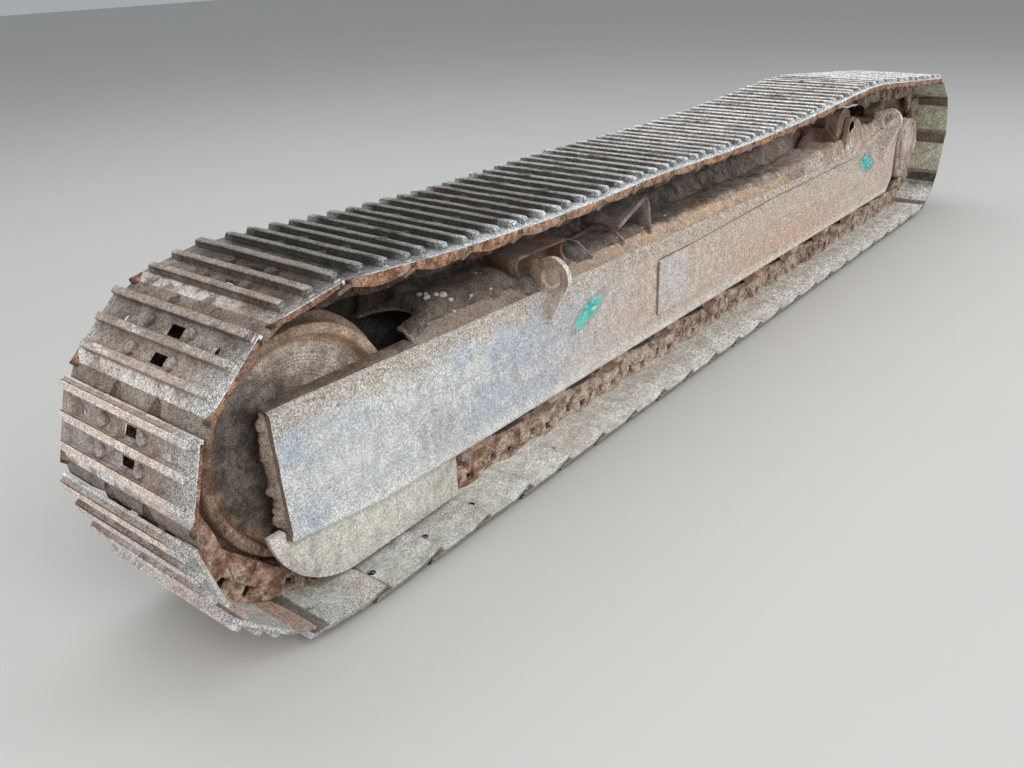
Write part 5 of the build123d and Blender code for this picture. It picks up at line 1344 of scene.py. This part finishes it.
mound.add(*cells(heap_us, heap_ys, keep_heap, lambda u, y: (X(u), y, roof_top(u, y) - 3.0), lambda u, y: (X(u), y, roof_top(u, y) + max(-1.5, heap(u, y)))))
mound.piece("dirt_and_shade_ridge_on_roof", mats["mound"], slot="rusty_steel", smooth=60)

arm = Build()
loops = []
for k in range(31):
    u = 150.0 + 205.0 * k / 30.0
    high = 560.0 + 80.0 * smooth(150, 222, u) * (1.0 + 0.10 * fbm((u, 0, 0), 46.0, 3, 61.0))
    wob = [2.2 * fbm((u, 7.0 * q, 0), 20.0, 3, 63.0) for q in range(6)]
    loops.append([(X(u), 97.5, 552.0), (X(u), 101.0, 0.55 * 556.0 + 0.45 * high + wob[0]), (X(u), 109.0 + wob[1] * 0.5, high - 8 + wob[1]), (X(u), 119.0, high + wob[2]), (X(u), 130.0, high - 9 + wob[3]),
                  (X(u), 141.0, 0.5 * 560.0 + 0.5 * high + wob[4]), (X(u), 148.5, 552.0)])
arm.add(*rings(loops))
arm.piece("dirt_on_inner_fork_arm", mats["mound"], slot="rusty_steel", smooth=60)

random.seed(23)
stones = Build()


def stone(u, y, r, seed, base=None):
    """One pebble, uneven, part buried."""
    zc = (roof_top(u, y) + max(0.0, heap(u, y)) + r * 0.25) if base is None else base
    ring_list = []
    for lat in (-62, -28, 4, 36, 66):
        c, s = math.cos(math.radians(lat)), math.sin(math.radians(lat))
        ring = []
        for k in range(8):
            t = 2 * math.pi * k / 8
            d = Vector((c * math.cos(t), c * math.sin(t), s))
            rr = r * (1 + 0.28 * noise.noise(d * 1.4 + Vector((seed, seed * 0.7, 0))))
            ring.append((X(u) + d.x * rr * 1.15, y + d.y * rr, zc + d.z * rr * 0.8))
        ring_list.append(ring)
    stones.add(*rings(ring_list))


for k in range(8):
    u, y = random.uniform(380, 760), random.uniform(-96, 60)
    if abs(y) > cut_half(u) + 12:
        stone(u, y, random.uniform(2.0, 4.5), k * 1.7)
for k, (u, y, r) in enumerate(((441, -16, 8), (450, -30, 5), (437, -46, 9), (464, -54, 7), (484, -60, 11), (493, -77, 7), (482, -98, 5), (560, -90, 6), (640, -92, 5))):
    stone(u, y, r, 40 + k)
for k in range(26):
    stone(random.uniform(1010, 3600), random.choice((-1, 1)) * random.uniform(20, 122), random.uniform(2.0, 4.5), 80 + k * 1.3)
for k in range(70):
    u, y = random.uniform(300, 3950), -random.uniform(170, 244)
    stone(u, y, random.uniform(2.5, 6.5), 200 + k * 0.9, base=31.5)
stones.piece("stones", mats["stone"], slot="shoe_steel", smooth=50)

# ------------------------------------------------------------------ crusted fork ends
mud = Build()
for side in (-1, 1):
    loops = []
    n = 64
    for k in range(n + 1):
        z = 243.0 + (548.0 - 243.0) * k / n
        share = (z - skirt_end_z) / (fold_z_front - skirt_end_z)
        lean = 13.0 * (1 - share)
        jag = 11.0 * fbm((0, side * 9, z), 30.0, 4, 31.0) + 5.0 * fbm((3, 0, z), 9.0, 3, 33.0)
        inner = 97.5 + max(0.0, min(22.0, 4.0 + jag + 6.0 * abs(share - 0.55)))
        thick = 9.0 + 13.0 * max(0.0, 0.5 + fbm((5, side * 3, z), 42.0, 4, 43.0)) + 4.0 * fbm((1, 0, z), 11.0, 3, 45.0)
        thick = thick * smooth(248, 275, z) * smooth(552, 515, z)
        face = X(-160) + lean
        deep = 30.0 + 9.0 * fbm((8, 0, z), 30.0, 3, 37.0)
        loop = [(face + 3, side * 141.0, z), (face - 1.5 - thick * 0.35, side * 137.0, z), (face - 1.5 - thick, side * 127.0, z), (face - thick * 1.05, side * 116.0, z), (face - thick * 0.7, side * (inner + 5), z),
                (face + 3, side * (inner + 0.5), z), (face + 12, side * inner, z), (face + deep, side * (inner + 4), z), (face + deep + 6, side * (inner + 14), z), (face + deep + 7, side * 137.4, z)]
        loops.append(loop if side < 0 else loop[::-1])
    mud.add(*rings(loops))
mud.piece("fork_crust", mats["fork_mud"], slot="rusty_steel", smooth=60)

# ------------------------------------------------------------------ carrier roller and its bracket
carrier_u, carrier_z = 3230.0, 619.0
half = [(28.3, 103.6), (46, 103.8), (51.5, 102), (53, 99), (60, 95.4), (80, 94.2), (83.4, 92.5), (83.8, 72), (83.4, 50), (88, 46), (90.6, 43.5), (90.8, 36), (86, 34), (60, 30.2)]
v, f = lathe([(r, -y) for r, y in half] + [(r, y) for r, y in half[::-1]], (X(carrier_u), carrier_z), 64, lambda r, y, t: -0.7 * abs(noise.noise(Vector((math.cos(t) * 3, math.sin(t) * 3, y * 0.05)))) if r > 70 else 0.0)
b = Build()
b.add(v, f)
b.piece("carrier_roller_body", mats["chain_node"], slot="chain_steel", parts=["carrier_roller"])
b = Build()
for side in (-1, 1):
    head = [(X(carrier_u) + 45.6 * math.cos(math.radians(t)), carrier_z + 45.6 * math.sin(math.radians(t))) for t in range(0, 181, 12)]
    outline = head + [(X(carrier_u) - 54, (carrier_z + fold_z(carrier_u)) / 2), (X(carrier_u) - 61.5, fold_z(carrier_u - 62) + 14.6), (X(carrier_u) + 61.5, fold_z(carrier_u + 62) + 15.2), (X(carrier_u) + 54, (carrier_z + fold_z(carrier_u)) / 2)]
    b.add(*prism(outline, side * 110.4, side * 131.6, 2.2, 2))
    b.add(*disc_stack([(27.6, side * 104), (27.6, side * 131.9), (24, side * 131.9)], (X(carrier_u), carrier_z), 28))
    b.add(*disc_stack([(38, side * 131), (38, side * 131.8), (36, side * 131.9)], (X(carrier_u), carrier_z), 28))
    for dx in (-56, 56):
        b.add(*bead([(X(carrier_u) + dx, side * 110, slope_z(carrier_u, 110) + 6), (X(carrier_u) + dx, side * 131, slope_z(carrier_u, 131) + 4)], 5, 4, dx))
b.piece("carrier_bracket_plates", mats["cradle"], slot="frame_paint", parts=["carrier_bracket"])

# ------------------------------------------------------------------ sprocket, final drive and motor
centre = (X(sprocket_u), sprocket_z)
tip_r = sprocket_pin_r + 6
teeth = []
for k in range(20):
    base = math.radians(18 * k)
    for d, r in ((-9.0, tip_r - 23), (-7.3, tip_r - 23.5), (-6.2, tip_r - 21.5), (-5.0, tip_r - 11), (-3.9, tip_r - 3.2), (-2.4, tip_r - 0.8), (0.0, tip_r - 0.5), (2.4, tip_r - 0.8), (3.9, tip_r - 3.2), (5.0, tip_r - 11), (6.2, tip_r - 21.5), (7.3, tip_r - 23.5)):
        t = base + math.radians(9 + d)
        teeth.append((centre[0] + r * math.cos(t), centre[1] + r * math.sin(t)))
n = len(teeth)
inner = [(centre[0] + 150.3 * math.cos(math.atan2(z - centre[1], x - centre[0])), centre[1] + 150.3 * math.sin(math.atan2(z - centre[1], x - centre[0]))) for x, z in teeth]
body = [(centre[0] + (math.hypot(x - centre[0], z - centre[1]) - 5) * math.cos(math.atan2(z - centre[1], x - centre[0])), centre[1] + (math.hypot(x - centre[0], z - centre[1]) - 5) * math.sin(math.atan2(z - centre[1], x - centre[0]))) for x, z in teeth]
step_r = [(centre[0] + 236.0 * math.cos(math.atan2(z - centre[1], x - centre[0])), centre[1] + 236.0 * math.sin(math.atan2(z - centre[1], x - centre[0]))) for x, z in teeth]
step_q = [(centre[0] + 228.0 * math.cos(math.atan2(z - centre[1], x - centre[0])), centre[1] + 228.0 * math.sin(math.atan2(z - centre[1], x - centre[0]))) for x, z in teeth]
loops = []
for pts, y in ((inner, -24.0), (step_q, -22.5), (step_r, -27.7), (body, -27.7), (teeth, -22.0), (teeth, 22.0), (body, 27.7), (step_r, 27.7), (step_q, 22.5), (inner, 24.0)):
    loops.append([(x, y, z) for x, z in pts])
verts, faces = [], []
for loop in loops:
    verts += loop
for k in range(len(loops)):
    for i in range(n):
        j = (i + 1) % n
        k2 = (k + 1) % len(loops)
        faces.append((k * n + i, k * n + j, k2 * n + j, k2 * n + i))
b = Build()
b.add(verts, faces)
for k in range(20):
    t = math.radians(18 * k + 9)
    c = (centre[0] + 208 * math.cos(t), centre[1] + 208 * math.sin(t))
    for s in (-1, 1):
        b.add(*disc_stack([(13, s * 22), (13, s * 27.2), (10.5, s * 27.9)], c, 6))
b.piece("sprocket_ring", mats["chain_node"], slot="chain_steel", parts=["sprocket"])

b = Build()
b.add(*disc_stack([(112, -155.8), (117.4, -154.6), (117.6, -150.6), (142, -150.2), (150, -149.0), (155, -144), (155.7, -138), (155.7, -122), (153.0, -119.5), (153.0, -116.5), (155.7, -114), (155.7, -96), (153.5, -90.8), (149.8, -90.4), (149.8, -56),
                   (190, -51.8), (195.4, -49.5), (195.6, -31), (193, -28.3), (149.6, -28.2), (149.6, 28.2), (168, 28.4), (169.6, 31), (169.6, 71), (167, 73.7)], centre, 96))
for k in range(12):
    t = math.radians(30 * k + 8)
    c = (centre[0] + 133 * math.cos(t), centre[1] + 133 * math.sin(t))
    b.add(*disc_stack([(9.5, -150.0), (9.5, -155.0), (8, -155.7)], c, 6))
for k in range(2):
    c = (centre[0] + 70 * math.cos(math.radians(55 + 180 * k)), centre[1] + 70 * math.sin(math.radians(55 + 180 * k)))
    b.add(*disc_stack([(16, -155.0), (16, -155.9), (9, -155.9)], c, 20))
for k in range(24):
    t = math.radians(15 * k)
    c = (centre[0] + 177 * math.cos(t), centre[1] + 177 * math.sin(t))
    b.add(*disc_stack([(8, -51.5), (8, -57.5), (6.5, -58.5)], c, 6))
b.piece("final_drive_housing", mats["drum"], slot="rusty_steel", parts=["final_drive"])

b = Build()
b.add(*disc_stack([(119.5, 74.2), (119.5, 112), (170, 112.3), (175.6, 115), (175.6, 131), (173, 133.7), (147.6, 134), (147.6, 149.6), (130, 150.2), (125.6, 153), (125.6, 198), (121, 206), (112, 211.5)], centre, 80))
body = [(centre[0] + dx * (75 if abs(dz) == 1 else 75), centre[1] + dz * 95) for dx, dz in ((-1, -1), (1, -1), (1, 1), (-1, 1))]
b.add(*prism(body, 212.3, 237.4, 9.0, 3))
for k in range(16):
    t = math.radians(22.5 * k + 5)
    c = (centre[0] + 160 * math.cos(t), centre[1] + 160 * math.sin(t))
    b.add(*disc_stack([(10, 133.5), (10, 141.0), (8.5, 142.0)], c, 6))
for dx, dz, r in ((-34, 44, 17), (34, 44, 17), (0, -6, 13), (-40, -58, 10), (40, -58, 10)):
    b.add(*disc_stack([(r, 236.8), (r, 237.7), (r * 0.62, 237.7), (r * 0.58, 233.0)], (centre[0] + dx, centre[1] + dz), 24))
b.piece("drive_motor_body", mats["rusty_steel"], slot="rusty_steel", parts=["drive_motor"])

# ------------------------------------------------------------------ machine-side saddles
for name, u in (("saddle_front", 1050.0), ("saddle_rear", 3000.0)):
    b = Build()
    zc = 370.0

    def frame_ring(w0, h0, w1, h1, y0, y1, r0, r1, bevel):
        """A rectangular frame with rounded corners between two y planes."""
        def rounded(w, h, r):
            pts = []
            for cx, cz, a in ((w / 2 - r, h / 2 - r, 0), (-w / 2 + r, h / 2 - r, 90), (-w / 2 + r, -h / 2 + r, 180), (w / 2 - r, -h / 2 + r, 270)):
                pts += [(X(u) + cx + r * math.cos(math.radians(a + 18 * q)), zc + cz + r * math.sin(math.radians(a + 18 * q))) for q in range(6)]
            return pts
        big, small = rounded(w0, h0, r0), rounded(w1, h1, r1)
        vs_, fs_ = [], []
        for pts, y in ((small, y0), (big, y0), (big, y1), (small, y1)):
            vs_ += [(x, y, z) for x, z in pts]
        m_ = len(big)
        for k in range(4):
            for i in range(m_):
                j = (i + 1) % m_
                fs_.append((k * m_ + i, k * m_ + j, ((k + 1) % 4) * m_ + j, ((k + 1) % 4) * m_ + i))
        return soften(vs_, fs_, bevel, 2)

    b.add(*frame_ring(269.6, 169.6, 230.4, 130.4, 150.4, 212.0, 20, 12, 1.5))
    v, f = frame_ring(399.4, 299.4, 200.4, 100.4, 211.4, 235.7, 24, 12, 2.0)
    b.add(v, f)
    for dx in (-165, 165):
        for dz in (-115, 115):
            b.add(*lathe([(13.1, 235.6), (19, 235.75), (19.4, 235.9), (13.0, 235.95), (12.8, 212.0), (12.9, 212.0)], (X(u) + dx, zc + dz), 24))
    for dz in (-1, 1):
        for dx in (-90, 84):
            b.add(*across_plate([(150.4, zc + dz * 85.5), (211.6, zc + dz * 85.5), (211.6, zc + dz * 144.4), (198, zc + dz * 143.4), (150.4, zc + dz * 119.6)], X(u) + dx + 0.3, X(u) + dx + 11.7, 1.4, 2))
            b.add(*bead([(X(u) + dx - 1, 151.5, zc + dz * 88), (X(u) + dx - 1, 151.5, zc + dz * 118)], 4, 5, dx))
    for w in (-135, 135):
        b.add(*bead([(X(u) + w, 152, zc - 80), (X(u) + w, 152, zc + 80)], 4.5, 6, w + u))
        b.add(*bead([(X(u) + w, 210, zc - 80), (X(u) + w, 210, zc + 80)], 4.0, 6, w + u + 4))
    for h in (-85, 85):
        b.add(*bead([(X(u) - 125, 152, zc + h), (X(u) + 125, 152, zc + h)], 4.5, 6, h + u))
    b.piece(name + "_frame", mats["frame_paint"], slot="frame_paint", parts=[name])

# ------------------------------------------------------------------ softened versions of the remaining plates and blocks
def worn(node, name, look, slot, width=2.0, segments=2):
    """A new mesh with the node's shape, its corners rounded by wear."""
    source = frame["nodes"][node].data
    bm = bmesh.new()
    bm.from_mesh(source)
    for v in bm.verts:
        v.co *= 1000.0
    bmesh.ops.remove_doubles(bm, verts=bm.verts[:], dist=0.01)
    bmesh.ops.dissolve_limit(bm, angle_limit=math.radians(1.0), verts=bm.verts[:], edges=bm.edges[:])
    bm.verts.index_update()
    vs_ = [tuple(v.co) for v in bm.verts]
    fs_ = [tuple(v.index for v in f.verts) for f in bm.faces]
    bm.free()
    b = Build()
    b.add(*soften(vs_, fs_, width, segments, 30.0))
    return b.piece(name, mats[look], slot=slot, parts=[node])


worn("access_cover", "access_cover_plate", "side", "frame_paint", 1.8, 2)
seam = Build()
seam.add(*bead([(X(1638), -150.6, 459), (X(2330), -150.6, 476), (X(2790), -150.6, 475), (X(3350), -150.6, 471)], 1.9, 9, 31, 5))
seam.add(*bead([(X(1442.5), -151.5, 268), (X(1442.5), -151.5, 452)], 3.0, 7, 33, 5))
seam.add(*bead([(X(1450), -151.5, 460.6), (X(1638), -151.5, 460.6)], 2.6, 7, 35, 5))
seam.piece("side_weld_seam", mats["seam"], slot="rusty_steel")
worn("frame_side_inner", "side_plate_inner", "side", "frame_paint", 1.6, 2)
worn("fork_lips", "fork_lip_bars", "lip", "frame_paint", 1.4, 2)
worn("guide_bars", "guide_bar_blocks", "lip", "rusty_steel", 3.0, 2)
worn("frame_deck", "deck_plate", "bracket", "frame_paint", 1.8, 2)
worn("rear_bulkhead", "bulkhead_plate", "bracket", "frame_paint", 1.5, 2)
worn("idler_axle", "idler_axle_bar", "bare_steel", "bare_steel", 2.5, 2)
worn("idler_blocks", "idler_block_castings", "rusty_steel", "rusty_steel", 3.0, 2)
worn("idler_yoke", "idler_yoke_casting", "lip", "rusty_steel", 4.0, 3)
worn("recoil_rod", "recoil_rod_bar", "lip", "bare_steel", 1.5, 2)
# recoil spring: end plates and a coil
b = Build()
for u_, w_, r_ in ((470.0, 22.0, 97.6),):
    b.add([(x, y, z) for x, y, z in [(X(u_) + dx, r_ * math.cos(math.radians(9 * k)), idler_z + r_ * math.sin(math.radians(9 * k))) for dx in (0.3, w_ - 0.3) for k in range(40)]],
          [tuple(range(40)), tuple(range(79, 39, -1))] + [(k, 40 + k, 40 + (k + 1) % 40, (k + 1) % 40) for k in range(40)])
coil, n = [], 26 * 24
for k in range(n + 1):
    t = 2 * math.pi * k / 26.0
    x = X(500) + (970 - 500) * k / n
    c = Vector((x, 70 * math.cos(t), idler_z + 70 * math.sin(t)))
    out = Vector((0, math.cos(t), math.sin(t)))
    coil.append([tuple(c + out * 13.0 * math.cos(2 * math.pi * j / 8) + Vector((1, 0, 0)) * 6.5 * math.sin(2 * math.pi * j / 8)) for j in range(8)])
b.add(*rings(coil))
b.add([(X(480 + dx), 34 * math.cos(math.radians(15 * k)), idler_z + 34 * math.sin(math.radians(15 * k))) for dx in (0, 505) for k in range(24)],
      [(k, 24 + k, 24 + (k + 1) % 24, (k + 1) % 24) for k in range(24)])
b.add(*soften(*rings([[(X(980.3), y, idler_z + z) for y, z in ((-137.4, -94.6), (137.4, -94.6), (137.4, 94.6), (-137.4, 94.6))], [(X(1004.7), y, idler_z + z) for y, z in ((-137.4, -94.6), (137.4, -94.6), (137.4, 94.6), (-137.4, 94.6))]]), 2.0, 2))
b.piece("recoil_spring_coil", mats["rusty_steel"], slot="rusty_steel", parts=["recoil_spring"])

# ------------------------------------------------------------------ floor, light and camera
floor_mesh = bpy.data.meshes.new("floor")
floor_mesh.from_pydata([(-30, -30, 0), (30, -30, 0), (30, 30, 0), (-30, 30, 0)], [], [(0, 1, 2, 3)])
floor = bpy.data.objects.new("floor", floor_mesh)
bpy.context.scene.collection.objects.link(floor)
fl = Nodes("floor_plain")
floor_mesh.materials.append(fl.finish(fl.mix(fl.noise(0.8, 2), (0.60, 0.59, 0.57), (0.63, 0.62, 0.60)), 0.9, spec=0.2))

world = bpy.data.worlds.new("studio")
bpy.context.scene.world = world
world.use_nodes = True
world.node_tree.nodes["Background"].inputs[0].default_value = (0.90, 0.95, 1.0, 1)
world.node_tree.nodes["Background"].inputs[1].default_value = 0.42


def area(name, place, target, size, power, colour=(1, 1, 1)):
    data = bpy.data.lights.new(name, "AREA")
    data.energy, data.size, data.color = power, size, colour
    obj = bpy.data.objects.new(name, data)
    bpy.context.scene.collection.objects.link(obj)
    obj.location = place
    obj.rotation_euler = (Vector(target) - Vector(place)).to_track_quat("-Z", "Y").to_euler()
    return obj


area("key_light", (-3.5, -6.0, 6.5), (0, 0, 0.3), 5.0, 305, (1.0, 0.98, 0.95))
area("fill_light", (4.5, -5.0, 5.0), (0.5, 0, 0.4), 5.0, 175)
area("front_light", (-7.5, -1.5, 3.2), (-2.2, 0, 0.4), 4.0, 112)
area("top_light", (0.0, 2.5, 7.0), (0, 0, 0), 6.0, 178)

camera_data = bpy.data.cameras.new("camera")
camera = bpy.data.objects.new("camera", camera_data)
bpy.context.scene.collection.objects.link(camera)
bpy.context.scene.camera = camera
camera_data.sensor_fit = "HORIZONTAL"
camera_data.sensor_width = 36.0
camera_data.lens = 916.478 / 1024.0 * 36.0
camera_data.clip_end = 200.0
yaw, pitch_down, roll = 0.686069, 0.444352, -0.0351864
forward = Vector((math.cos(yaw) * math.cos(pitch_down), math.sin(yaw) * math.cos(pitch_down), -math.sin(pitch_down)))
right = Vector((math.sin(yaw), -math.cos(yaw), 0))
upward = right.cross(forward)
right_2 = math.cos(roll) * right + math.sin(roll) * upward
upward_2 = -math.sin(roll) * right + math.cos(roll) * upward
turn = Matrix((right_2, upward_2, -forward)).transposed().to_4x4()
camera.matrix_world = Matrix.Translation((-3.16651, -1.62791, 1.42447)) @ turn

bpy.context.scene.view_settings.view_transform = "Standard"
bpy.context.view_layer.update()
